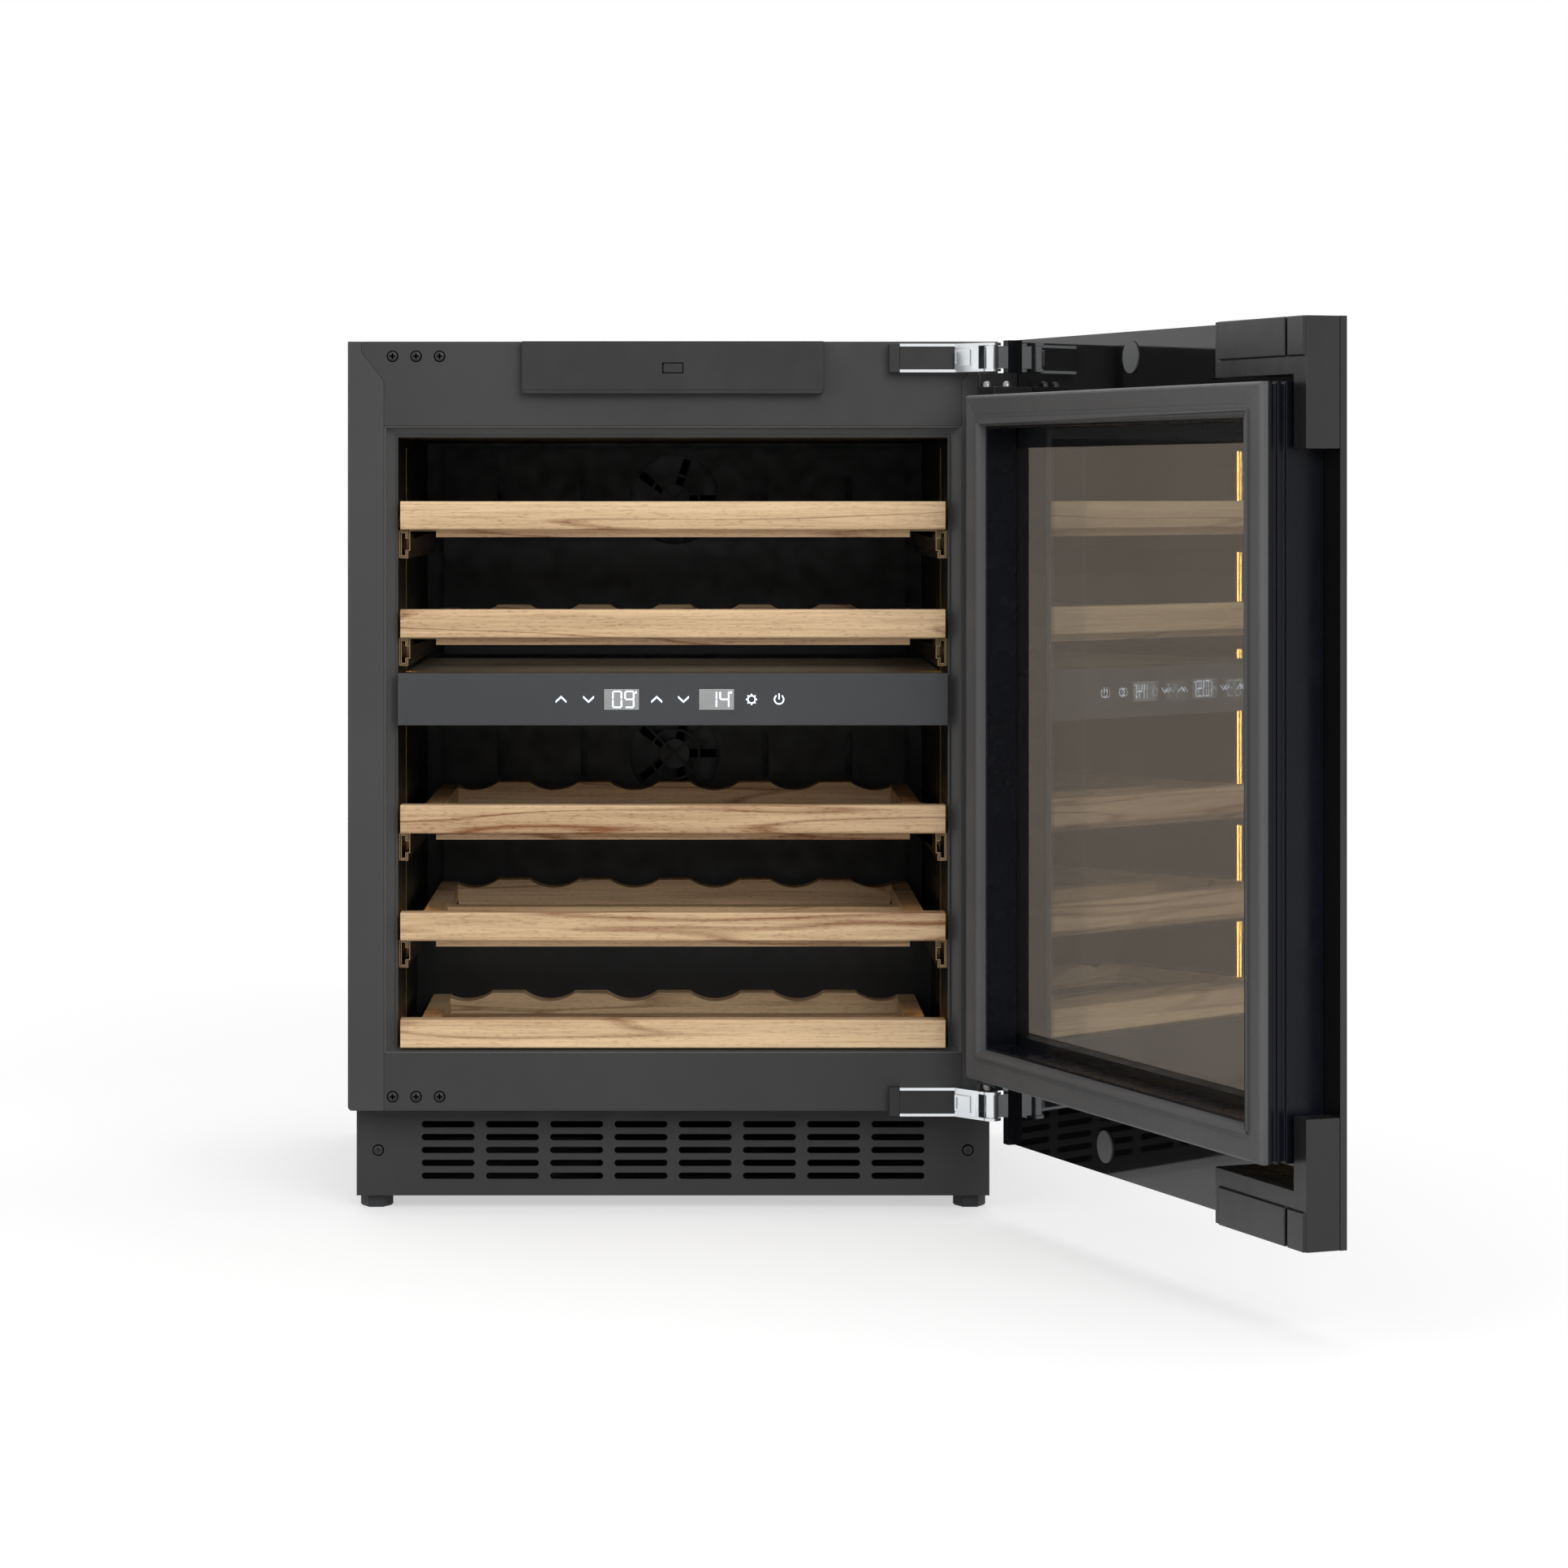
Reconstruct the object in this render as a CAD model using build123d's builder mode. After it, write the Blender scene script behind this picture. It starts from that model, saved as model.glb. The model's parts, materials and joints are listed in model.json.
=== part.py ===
"""Built-in wine cooler with two zones, pull-out beech shelves and a hinged glass door.

Millimetres, +Z up, front towards -Y. The origin is on the floor under the middle of the cabinet.
The door is modelled open, as it is photographed, in a plane of its own.
"""

import os
from math import cos, radians, sin

from build123d import *

os.makedirs("parts", exist_ok=True)

# Cabinet
WIDTH = 595.0
HEIGHT = 800.0
DEPTH = 510.0
SHEET = 1.2
FRAME_DEPTH = 20.0
FRAME_BOTTOM = 96.0
STILE_WIDTH = 33.0
STILE_CORNER = 4.0
STILE_TAB = 12.5
TAB_DROP = 10.0
TAB_END = 36.0
SILL_HEIGHT = 52.0
HEAD_HEIGHT = 77.0

# Inner liner and compressor bay
LINER_WALL = 2.0
LINER_INSET = 12.0
LINER_SILL = 5.0
LINER_HEAD = 11.0
BACK_FOAM = 50.0
STEP_DEPTH = 170.0
STEP_HEIGHT = 69.0
FOAM_STEP = 28.0
TRIM_LIP = 1.5
TRIM_SLOPE = 12.0

# Plinth, chassis and feet
PLINTH_INSET = 5.0
PLINTH_RECESS = 40.0
PLINTH_SHEET = 2.0
PLINTH_BOTTOM = 12.0
SLOT_COLUMNS = 8
SLOT_ROWS = 5
SLOT_LENGTH = 49.0
SLOT_HEIGHT = 6.0
SLOT_BLUNT = 1.76
SLOT_PITCH_X = 59.4
SLOT_PITCH_Z = 11.9
FOOT_SIDES = 6
FOOT_FLATS = 26.0
FOOT_STEM = 5.0
FOOT_CHAMFER = 1.5
FOOT_INSET = 17.5
FOOT_FRONT_SETBACK = 60.0
FOOT_REAR_SETBACK = 32.0
BUSH_RADIUS = 9.0
BUSH_HEIGHT = 22.0

# Screws
SCREW_HEAD = 4.6
SCREW_SIDES = 12
SCREW_DOME = 1.6
SCREW_TAPER = 30.0
SCREWS_IN_ROW = 3
SCREW_PITCH = 21.5
SCREW_START = 41.0
SCREW_DROP = 13.5
SCREW_RISE = 13.0
PLINTH_SCREW_INSET = 20.0

# Door opener on the top rail
OPENER_WIDTH = 276.0
OPENER_HEIGHT = 48.0
OPENER_PROUD = 12.0
OPENER_CORNER = 4.0
PLUNGER_WIDTH = 18.4
PLUNGER_HEIGHT = 9.4
PLUNGER_RISE = 24.5
PLUNGER_RECESS = 1.5
SLIDE_GAP = 0.3
RUN_FIT = 0.05
RUN_GAP = 0.5

# Door
DOOR_REVEAL = 2.5
DOOR_BOTTOM = 70.0
DOOR_OPEN = 111.5
PANEL_THICK = 6.0
DOOR_FRAME_INSET = 25.0
DOOR_FRAME_DROP = 12.0
DOOR_FRAME_RISE = 26.0
DOOR_FRAME_DEPTH = 50.0
DOOR_FRAME_WIDTH = 30.0
DOOR_FRAME_WALL = 8.0
RIB_COUNT = 2
RIB_PITCH = 8.0
RIB_DEPTH = 2.0
RIB_WIDTH = 4.0
GLASS_THICK = 4.0
GLASS_GAP = 16.0
WINDOW_SIDE = 14.0
WINDOW_TOP = 47.0
WINDOW_BOTTOM = 39.0
GASKET_WIDTH = 28.0
GASKET_HEIGHT = 7.5
GASKET_SLOPE = 2.0
GASKET_GROOVE = 17.0
GASKET_CLEAR = 1.0
EDGE_WIDTH = 10.0
EDGE_HEIGHT = 7.0
CAP_RADIUS = 14.0
CAP_THICK = 1.5
CAP_UPPER_ALONG = 238.0
CAP_UPPER_DROP = 22.0
CAP_LOWER_ALONG = 190.0
CAP_LOWER_RISE = 24.0
BRACKET_WIDTH = 148.0
BRACKET_HEIGHT = 104.0
BRACKET_BAND = 46.0
BRACKET_ARM = 21.0
BRACKET_BASE = 30.0
BRACKET_BLOCK = 31.0
BRACKET_THICK = 32.0
BRACKET_STEP = 6.0
BRACKET_END = 2.0
BRACKET_GROOVE = 3.0

# Hinges
PIVOT_ALONG = 6.0
PIVOT_OFF = 21.7
HINGE_DROP = 15.5
HINGE_RISE = 10.0
HINGE_HEIGHT = 26.0
HINGE_PLATE = 2.5
ARM_START_INSET = 90.5
ARM_BEND_INSET = 40.5
ARM_ROOT_INSET = 9.5
ARM_DEPTH = 14.0
ARM_HEAD = 8.5
ARM_TANGENT = radians(54.0)
ARM_BOX_SHARE = 0.55
PIN_RADIUS = 3.0
BARREL_RADIUS = 6.5
LEAF_WIDTH = 8.0
COVER_INSET = 1.5

# Shelves
UPPER_LEVELS = (0.73, 0.27)
LOWER_LEVELS = (0.753, 0.42)
STRIP_GAP = 3.0
STRIP_HEIGHT = 26.0
STRIP_THICK = 20.0
STRIP_SETBACK = 2.0
STRIP_EDGE = 2.0
RAIL_HEIGHT = 26.0
RAIL_WIDTH = 9.0
RAIL_WALL = 1.5
RAIL_LIP = 5.0
RAIL_END_GAP = 3.0
RAIL_DROP = 0.6
RACK_REAR_GAP = 13.0
RACK_SIDE_GAP = 16.5
BEAM_WIDTH = 18.0
BEAM_HEIGHT = 16.0
SLAT_WIDTH = 26.0
SLAT_HEIGHT = 20.0
TIE_HEIGHT = 11.0
SLAT_DROP = 7.0
CRADLES = 6
CRADLE_PITCH = 81.0
CRADLE_RADIUS = 42.0
CRADLE_DEPTH = 8.0

# Control bar between the zones
LOWER_ZONE = 295.5
BAR_HEIGHT = 48.0
BAR_THICK = 8.0
BAR_SETBACK = 1.0
DIVIDER_THICK = 40.0
DISPLAY_WIDTH = 32.0
DISPLAY_HEIGHT = 19.0
DISPLAY_DEPTH = 2.0
DISPLAY_X = (-47.0, 40.0)
DISPLAY_RISE = 24.0

# Lamps let into the liner's side walls
LAMP_WIDTH = 6.0
LAMP_SETBACK = 129.0
LAMP_RECESS = 1.0
LAMP_MARGIN = 8.0

# Air ducts and fans
DUCT_SIDE_GAP = 17.5
DUCT_SHEET = 2.5
DUCT_DEPTH = 22.0
DUCT_MARGIN = 5.0
FAN_RADIUS = 42.0
FAN_CLEAR = 4.0
FAN_HUB = 15.0
FAN_THICK = 12.0
FAN_BLADES = 5
BLADE_THICK = 1.6
BLADE_PITCH = 32.0
FAN_SHAFT = 2.5
FAN_MARGIN = 11.0
GUARD_RING = 25.0
GUARD_TURNS = (45.0, 135.0)
GUARD_BAR = 2.5
DUCT_SLOT_X = (92.0, 177.0)
DUCT_SLOT_WIDTH = 7.0
DUCT_SLOT_LENGTH = 46.0

# Compressor bay contents
SHELL_RADIUS = 62.0
SHELL_HEIGHT = 150.0
SHELL_X = 150.0
CONDENSER_FAN_X = -20.0
CONDENSER_FAN_SIZE = 116.0
CONDENSER_FAN_DEPTH = 24.0
COIL_TUBE = 3.0
COIL_SIDES = 6
COIL_PITCH = 36.0
COIL_RUNS = 5
COIL_HALF = 215.0
COIL_RISE = 44.0
COIL_BEND = 10.0
COIL_CARRIERS = 2
CARRIER_SHEET = 1.5
CARRIER_HEIGHT = 54.0
GROMMET_RADIUS = 9.0
GROMMET_HEIGHT = 10.0
FOOT_PLATE = 4.0
SHELL_DOME = 28.0
VENT_COLUMNS = 6
VENT_ROWS = 4
VENT_LENGTH = 60.0
VENT_PITCH_X = 80.0
VENT_PITCH_Z = 30.0

Y_FRONT = -DEPTH / 2
Y_BACK = DEPTH / 2
HALF = WIDTH / 2
FRONT = Plane.XZ.offset(DEPTH / 2)
BEHIND_FRAME = Y_FRONT + FRAME_DEPTH
OPENING_HALF = HALF - STILE_WIDTH
OPENING_BOTTOM = FRAME_BOTTOM + SILL_HEIGHT
OPENING_TOP = HEIGHT - HEAD_HEIGHT
LINER_HALF = OPENING_HALF - LINER_INSET
LINER_BOTTOM = OPENING_BOTTOM + LINER_SILL
LINER_TOP = OPENING_TOP - LINER_HEAD
LINER_BACK = Y_BACK - BACK_FOAM
STEP_FRONT = LINER_BACK - STEP_DEPTH
STEP_TOP = LINER_BOTTOM + STEP_HEIGHT
PLINTH_WIDTH = WIDTH - 2 * PLINTH_INSET
BAY_FRONT = STEP_FRONT + LINER_WALL + FOAM_STEP
BAY_TOP = STEP_TOP - LINER_WALL - FOAM_STEP
TRAY_TOP = PLINTH_BOTTOM + PLINTH_SHEET


def facing(y):
    """Plane that looks out of the front of the cabinet, at a distance along Y."""
    return Plane.XZ.offset(-y)


def keep(piece, name):
    """Label a finished piece and write it to its own file."""
    piece.label = name
    export_step(piece, f"parts/{name}.step")


def span(low, high, width, centre=0.0):
    """Rectangle in the open sketch, from one height to another."""
    with Locations((centre, (low + high) / 2)):
        Rectangle(width, high - low)


def outline(points):
    """Face of a closed outline in the open sketch."""
    Polygon(*points, align=None)


# Front frame: two stiles, a top rail with tabs over the stiles and a bottom rail
TAB_CORNER = (HALF - STILE_TAB, HEIGHT - TAB_DROP)
with BuildPart() as stiles:
    with BuildSketch(FRONT):
        for side in (-1, 1):
            outline(
                (
                    (side * HALF, FRAME_BOTTOM),
                    (side * OPENING_HALF, FRAME_BOTTOM),
                    (side * OPENING_HALF, HEIGHT - TAB_END),
                    (side * TAB_CORNER[0], TAB_CORNER[1]),
                    (side * TAB_CORNER[0], HEIGHT),
                    (side * HALF, HEIGHT),
                )
            )
    extrude(amount=-FRAME_DEPTH)
    low_corners = stiles.edges().filter_by(Axis.Y).group_by(Axis.Z)[0].sort_by(Axis.X)
    fillet((low_corners[0], low_corners[-1]), radius=STILE_CORNER)
keep(stiles.part, "frame_stiles")

with BuildPart() as top_rail:
    with BuildSketch(FRONT):
        outline(
            (
                (-OPENING_HALF, OPENING_TOP),
                (OPENING_HALF, OPENING_TOP),
                (OPENING_HALF, HEIGHT - TAB_END),
                TAB_CORNER,
                (TAB_CORNER[0], HEIGHT),
                (-TAB_CORNER[0], HEIGHT),
                (-TAB_CORNER[0], TAB_CORNER[1]),
                (-OPENING_HALF, HEIGHT - TAB_END),
            )
        )
        with Locations((0, HEIGHT - PLUNGER_RISE)):
            Rectangle(PLUNGER_WIDTH + 2 * SLIDE_GAP, PLUNGER_HEIGHT + 2 * SLIDE_GAP, mode=Mode.SUBTRACT)
    extrude(amount=-FRAME_DEPTH)
keep(top_rail.part, "frame_top_rail")

with BuildPart() as bottom_rail:
    with BuildSketch(FRONT):
        span(FRAME_BOTTOM, OPENING_BOTTOM, 2 * OPENING_HALF)
    extrude(amount=-FRAME_DEPTH)
keep(bottom_rail.part, "frame_bottom_rail")

with BuildPart() as trim:
    with BuildSketch(FRONT.offset(-TRIM_LIP)):
        span(OPENING_BOTTOM, OPENING_TOP, 2 * OPENING_HALF)
    extrude(amount=TRIM_LIP - FRAME_DEPTH)
    with BuildSketch(FRONT.offset(-TRIM_LIP)):
        span(OPENING_BOTTOM + TRIM_LIP, OPENING_TOP - TRIM_LIP, 2 * (OPENING_HALF - TRIM_LIP))
    with BuildSketch(FRONT.offset(-TRIM_LIP - TRIM_SLOPE)):
        span(LINER_BOTTOM, LINER_TOP, 2 * LINER_HALF)
    loft(mode=Mode.SUBTRACT)
    with BuildSketch(FRONT.offset(-TRIM_LIP - TRIM_SLOPE)):
        span(LINER_BOTTOM, LINER_TOP, 2 * LINER_HALF)
    extrude(amount=-FRAME_DEPTH, mode=Mode.SUBTRACT)
keep(trim.part, "opening_trim")

# Case, liner, insulation and back
CASE_FRONT = facing(BEHIND_FRAME)
CASE_DEPTH = Y_BACK - BEHIND_FRAME


def cavity(grow):
    """Side outline of the liner's inside, grown outwards on every side but the front."""
    floor, step = LINER_BOTTOM - grow, STEP_TOP - grow
    wall, back = STEP_FRONT + grow, LINER_BACK + grow
    roof = LINER_TOP + grow
    return (
        (BEHIND_FRAME, floor),
        (wall, floor),
        (wall, step),
        (back, step),
        (back, roof),
        (BEHIND_FRAME, roof),
    )


def behind(low, high, width, front, depth, mode=Mode.ADD):
    """Block across the middle of the open part, from a front face backwards."""
    with BuildSketch(facing(front)) as area:
        span(low, high, width)
    extrude(area.sketch, amount=-depth, mode=mode)


BAY_WIDTH = WIDTH - 2 * SHEET
BAY_DEPTH = Y_BACK - BAY_FRONT

with BuildPart() as case:
    behind(FRAME_BOTTOM, HEIGHT, WIDTH, BEHIND_FRAME, CASE_DEPTH)
    behind(FRAME_BOTTOM + SHEET, HEIGHT - SHEET, BAY_WIDTH, BEHIND_FRAME, CASE_DEPTH, Mode.SUBTRACT)
    behind(FRAME_BOTTOM, BAY_TOP, BAY_WIDTH, BAY_FRONT, BAY_DEPTH, Mode.SUBTRACT)
keep(case.part, "outer_case")

def lamp_slot():
    """Upright slot for a lamp in the open sketch, seen from the side."""
    span(LINER_BOTTOM + LAMP_MARGIN, LINER_TOP - LAMP_MARGIN, LAMP_WIDTH, Y_FRONT + LAMP_SETBACK)


with BuildPart() as liner:
    for grow, mode in ((LINER_WALL, Mode.ADD), (0.0, Mode.SUBTRACT)):
        with BuildSketch(Plane.YZ):
            outline(cavity(grow))
        extrude(amount=LINER_HALF + grow, both=True, mode=mode)
    with BuildSketch(Plane.YZ):
        lamp_slot()
    extrude(amount=LINER_HALF + LINER_WALL, both=True, mode=Mode.SUBTRACT)
keep(liner.part, "inner_liner")

with BuildPart() as lamps:
    for side in (-1, 1):
        with BuildSketch(Plane.YZ.offset(side * (LINER_HALF + LINER_WALL))):
            lamp_slot()
        extrude(amount=side * (LAMP_RECESS - LINER_WALL))
keep(lamps.part, "lamp_strips")

with BuildPart() as foam:
    behind(FRAME_BOTTOM + SHEET, HEIGHT - SHEET, BAY_WIDTH, BEHIND_FRAME, CASE_DEPTH - SHEET)
    behind(FRAME_BOTTOM, BAY_TOP, BAY_WIDTH, BAY_FRONT, BAY_DEPTH, Mode.SUBTRACT)
    with BuildSketch(Plane.YZ):
        outline(cavity(LINER_WALL))
    extrude(amount=LINER_HALF + LINER_WALL, both=True, mode=Mode.SUBTRACT)
keep(foam.part, "foam_insulation")

with BuildPart() as back:
    behind(BAY_TOP, HEIGHT - SHEET, BAY_WIDTH, Y_BACK - SHEET, SHEET)
keep(back.part, "back_panel")

with BuildPart() as shield:
    behind(BAY_TOP - SHEET, BAY_TOP, BAY_WIDTH, BAY_FRONT, BAY_DEPTH - SHEET)
    behind(FRAME_BOTTOM, BAY_TOP, BAY_WIDTH, BAY_FRONT, SHEET)
keep(shield.part, "bay_shield")

# Plinth grille, chassis tray, feet and rear cover
PLINTH_FRONT = Y_FRONT + PLINTH_RECESS
PLINTH_MIDDLE = (PLINTH_BOTTOM + FRAME_BOTTOM) / 2
TRAY_FRONT = PLINTH_FRONT + PLINTH_SHEET
TRAY_DEPTH = Y_BACK - SHEET - TRAY_FRONT
FOOT_X = PLINTH_WIDTH / 2 - FOOT_INSET
FOOT_Y = (Y_FRONT + FOOT_FRONT_SETBACK, Y_BACK - FOOT_REAR_SETBACK)
FEET = [(x, y) for y in FOOT_Y for x in (-FOOT_X, FOOT_X)]
SLOT_REACH = SLOT_PITCH_X * SLOT_COLUMNS / 2

with BuildPart() as plinth:
    with BuildSketch(facing(PLINTH_FRONT)):
        span(PLINTH_BOTTOM, FRAME_BOTTOM, PLINTH_WIDTH)
        with Locations((0, PLINTH_MIDDLE)):
            with GridLocations(SLOT_PITCH_X, SLOT_PITCH_Z, SLOT_COLUMNS, SLOT_ROWS):
                Rectangle(SLOT_LENGTH, SLOT_HEIGHT, mode=Mode.SUBTRACT)
    extrude(amount=-PLINTH_SHEET)
    slot_corners = plinth.edges().filter_by(Axis.Y).filter_by_position(Axis.X, -SLOT_REACH, SLOT_REACH)
    chamfer(slot_corners, length=SLOT_BLUNT)
keep(plinth.part, "plinth_grille")

with BuildPart() as tray:
    behind(PLINTH_BOTTOM, FRAME_BOTTOM, PLINTH_WIDTH, TRAY_FRONT, TRAY_DEPTH)
    inside = PLINTH_WIDTH - 2 * PLINTH_SHEET
    behind(TRAY_TOP, FRAME_BOTTOM, inside, TRAY_FRONT, TRAY_DEPTH, Mode.SUBTRACT)
    with BuildSketch(Plane.XY.offset(PLINTH_BOTTOM)):
        with Locations(*FEET):
            RegularPolygon(BUSH_RADIUS, FOOT_SIDES)
    extrude(amount=BUSH_HEIGHT)
    with BuildSketch(Plane.XY.offset(PLINTH_BOTTOM)):
        with Locations(*FEET):
            Circle(FOOT_STEM + RUN_FIT)
    extrude(amount=BUSH_HEIGHT, mode=Mode.SUBTRACT)
keep(tray.part, "chassis_tray")

FOOT_NAMES = ("foot_front_left", "foot_front_right", "foot_rear_left", "foot_rear_right")
for name, spot in zip(FOOT_NAMES, FEET):
    with BuildPart() as foot:
        with BuildSketch():
            with Locations(spot):
                RegularPolygon(FOOT_FLATS / 2, FOOT_SIDES, major_radius=False)
        extrude(amount=PLINTH_BOTTOM - SLIDE_GAP)
        chamfer(foot.edges().group_by(Axis.Z)[0], length=FOOT_CHAMFER)
        with BuildSketch(Plane.XY.offset(PLINTH_BOTTOM - SLIDE_GAP)):
            with Locations(spot):
                Circle(FOOT_STEM)
        extrude(amount=BUSH_HEIGHT)
    keep(foot.part, name)

with BuildPart() as rear_cover:
    with BuildSketch(facing(Y_BACK - SHEET)):
        span(PLINTH_BOTTOM, BAY_TOP, BAY_WIDTH - 2 * SHEET)
        with Locations((0, (TRAY_TOP + BAY_TOP) / 2)):
            with GridLocations(VENT_PITCH_X, VENT_PITCH_Z, VENT_COLUMNS, VENT_ROWS):
                Rectangle(VENT_LENGTH, SLOT_HEIGHT, mode=Mode.SUBTRACT)
    extrude(amount=-SHEET)
keep(rear_cover.part, "rear_vent_cover")


SCREW_ROW = [SCREW_START + SCREW_PITCH * n - HALF for n in range(SCREWS_IN_ROW)]
FRAME_SCREWS = [(x, HEIGHT - SCREW_DROP) for x in SCREW_ROW]
FRAME_SCREWS += [(x, FRAME_BOTTOM + SCREW_RISE) for x in SCREW_ROW]
PLINTH_SCREW_X = PLINTH_WIDTH / 2 - PLINTH_SCREW_INSET

PLINTH_SCREWS = [(x, PLINTH_MIDDLE) for x in (-PLINTH_SCREW_X, PLINTH_SCREW_X)]

with BuildPart() as screws:
    for face, places in ((Y_FRONT, FRAME_SCREWS), (PLINTH_FRONT, PLINTH_SCREWS)):
        with BuildSketch(facing(face)):
            with Locations(*places):
                RegularPolygon(SCREW_HEAD, SCREW_SIDES)
        extrude(amount=SCREW_DOME, taper=SCREW_TAPER)
keep(screws.part, "cover_screws")

# Door opener: a box on the top rail with a plunger that pushes the door ajar
OPENER_Z = HEIGHT - PLUNGER_RISE

with BuildPart() as opener:
    with BuildSketch(FRONT):
        span(HEIGHT - OPENER_HEIGHT, HEIGHT, OPENER_WIDTH)
    extrude(amount=OPENER_PROUD)
    low_edges = opener.edges().filter_by(Axis.Y).group_by(Axis.Z)[0]
    fillet(low_edges, radius=OPENER_CORNER)
    with BuildSketch(FRONT):
        with Locations((0, OPENER_Z)):
            Rectangle(PLUNGER_WIDTH + 2 * SLIDE_GAP, PLUNGER_HEIGHT + 2 * SLIDE_GAP)
    extrude(amount=OPENER_PROUD, mode=Mode.SUBTRACT)
keep(opener.part, "opener_box")

with BuildPart() as plunger:
    with BuildSketch(FRONT.offset(OPENER_PROUD - PLUNGER_RECESS)):
        with Locations((0, OPENER_Z)):
            Rectangle(PLUNGER_WIDTH, PLUNGER_HEIGHT)
    extrude(amount=PLUNGER_RECESS - OPENER_PROUD - FRAME_DEPTH + SLIDE_GAP)
keep(plunger.part, "opener_plunger")

# Door plane: x runs from the hinge edge, y is up, z points at the cabinet when the door is shut
SWING = radians(DOOR_OPEN - 90)
ACROSS = Vector(sin(SWING), -cos(SWING))
INWARD = Vector(ACROSS.Y, -ACROSS.X)
DOOR_WIDTH = WIDTH - 2 * DOOR_REVEAL
DOOR_TOP = HEIGHT
DOOR_FRAME_BOTTOM = OPENING_BOTTOM - DOOR_FRAME_DROP
DOOR_FRAME_TOP = OPENING_TOP + DOOR_FRAME_RISE
GASKET_FACE = DOOR_FRAME_DEPTH + GASKET_HEIGHT
DOOR_STANDOFF = GASKET_FACE + GASKET_CLEAR
PIVOT = Vector(DOOR_WIDTH / 2 - PIVOT_ALONG, Y_FRONT - DOOR_STANDOFF + PIVOT_OFF)
CORNER = PIVOT - ACROSS * PIVOT_ALONG - INWARD * PIVOT_OFF
DOOR = Plane(origin=CORNER, x_dir=ACROSS, z_dir=INWARD)
MIDDLE = DOOR_WIDTH / 2
FRAME_SPAN = DOOR_WIDTH - 2 * DOOR_FRAME_INSET
INNER_GLASS_FACE = GLASS_GAP + GLASS_THICK


def frame_area(inset):
    """Rectangle inside the door frame's outer edge, by the same inset all round."""
    span(DOOR_FRAME_BOTTOM + inset, DOOR_FRAME_TOP - inset, FRAME_SPAN - 2 * inset, MIDDLE)


def window_area():
    """Clear window in the middle of the door."""
    low, high = DOOR_FRAME_BOTTOM + WINDOW_BOTTOM, DOOR_FRAME_TOP - WINDOW_TOP
    span(low, high, FRAME_SPAN - 2 * WINDOW_SIDE, MIDDLE)


def frame_layer(low, high, inset, mode=Mode.ADD):
    """Block inside the door frame's outline, between two distances from the panel."""
    with BuildSketch(DOOR.offset(low)) as area:
        frame_area(inset)
    extrude(area.sketch, amount=high - low, mode=mode)


def window_layer(low, high, mode=Mode.ADD):
    """Block over the window, between two distances from the panel."""
    with BuildSketch(DOOR.offset(low)) as area:
        window_area()
    extrude(area.sketch, amount=high - low, mode=mode)


with BuildPart() as panel:
    with BuildSketch(DOOR):
        span(DOOR_BOTTOM, DOOR_TOP, DOOR_WIDTH, MIDDLE)
    extrude(amount=-PANEL_THICK)
    window_layer(-PANEL_THICK, 0, Mode.SUBTRACT)
keep(panel.part, "door_panel")

with BuildPart() as window:
    window_layer(-PANEL_THICK, 0)
keep(window.part, "window_glass")

with BuildPart() as spacer:
    frame_layer(0, GLASS_GAP, DOOR_FRAME_WALL)
    window_layer(0, GLASS_GAP, Mode.SUBTRACT)
keep(spacer.part, "glass_spacer")

with BuildPart() as inner_glass:
    frame_layer(GLASS_GAP, INNER_GLASS_FACE, DOOR_FRAME_WALL)
keep(inner_glass.part, "inner_glass")

with BuildPart() as door_frame:
    frame_layer(0, DOOR_FRAME_DEPTH, 0)
    frame_layer(0, INNER_GLASS_FACE, DOOR_FRAME_WALL, Mode.SUBTRACT)
    frame_layer(INNER_GLASS_FACE, DOOR_FRAME_DEPTH, DOOR_FRAME_WIDTH, Mode.SUBTRACT)
    for rib in range(1, RIB_COUNT + 1):
        with BuildSketch(DOOR.offset(DOOR_FRAME_DEPTH - rib * RIB_PITCH)):
            frame_area(0)
            with Locations((MIDDLE, (DOOR_FRAME_BOTTOM + DOOR_FRAME_TOP) / 2)):
                inner_height = DOOR_FRAME_TOP - DOOR_FRAME_BOTTOM - 2 * RIB_DEPTH
                Rectangle(FRAME_SPAN - 2 * RIB_DEPTH, inner_height, mode=Mode.SUBTRACT)
        extrude(amount=RIB_WIDTH, mode=Mode.SUBTRACT)
keep(door_frame.part, "door_frame")

with BuildPart() as gasket:
    frame_layer(DOOR_FRAME_DEPTH, GASKET_FACE, 0)
    with BuildSketch(DOOR.offset(GASKET_FACE)):
        frame_area(GASKET_WIDTH - GASKET_SLOPE)
    with BuildSketch(DOOR.offset(DOOR_FRAME_DEPTH)):
        frame_area(GASKET_WIDTH)
    loft(mode=Mode.SUBTRACT)
    with BuildSketch(DOOR.offset(GASKET_FACE)):
        frame_area(GASKET_GROOVE)
        with Locations((MIDDLE, (DOOR_FRAME_BOTTOM + DOOR_FRAME_TOP) / 2)):
            land = GASKET_GROOVE + RIB_WIDTH
            land_height = DOOR_FRAME_TOP - DOOR_FRAME_BOTTOM - 2 * land
            Rectangle(FRAME_SPAN - 2 * land, land_height, mode=Mode.SUBTRACT)
    extrude(amount=-RIB_DEPTH, mode=Mode.SUBTRACT)
keep(gasket.part, "door_gasket")

with BuildPart() as edge:
    with BuildSketch(DOOR):
        span(DOOR_BOTTOM, DOOR_TOP, EDGE_WIDTH, EDGE_WIDTH / 2)
    extrude(amount=EDGE_HEIGHT)
keep(edge.part, "hinge_edge_trim")

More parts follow.
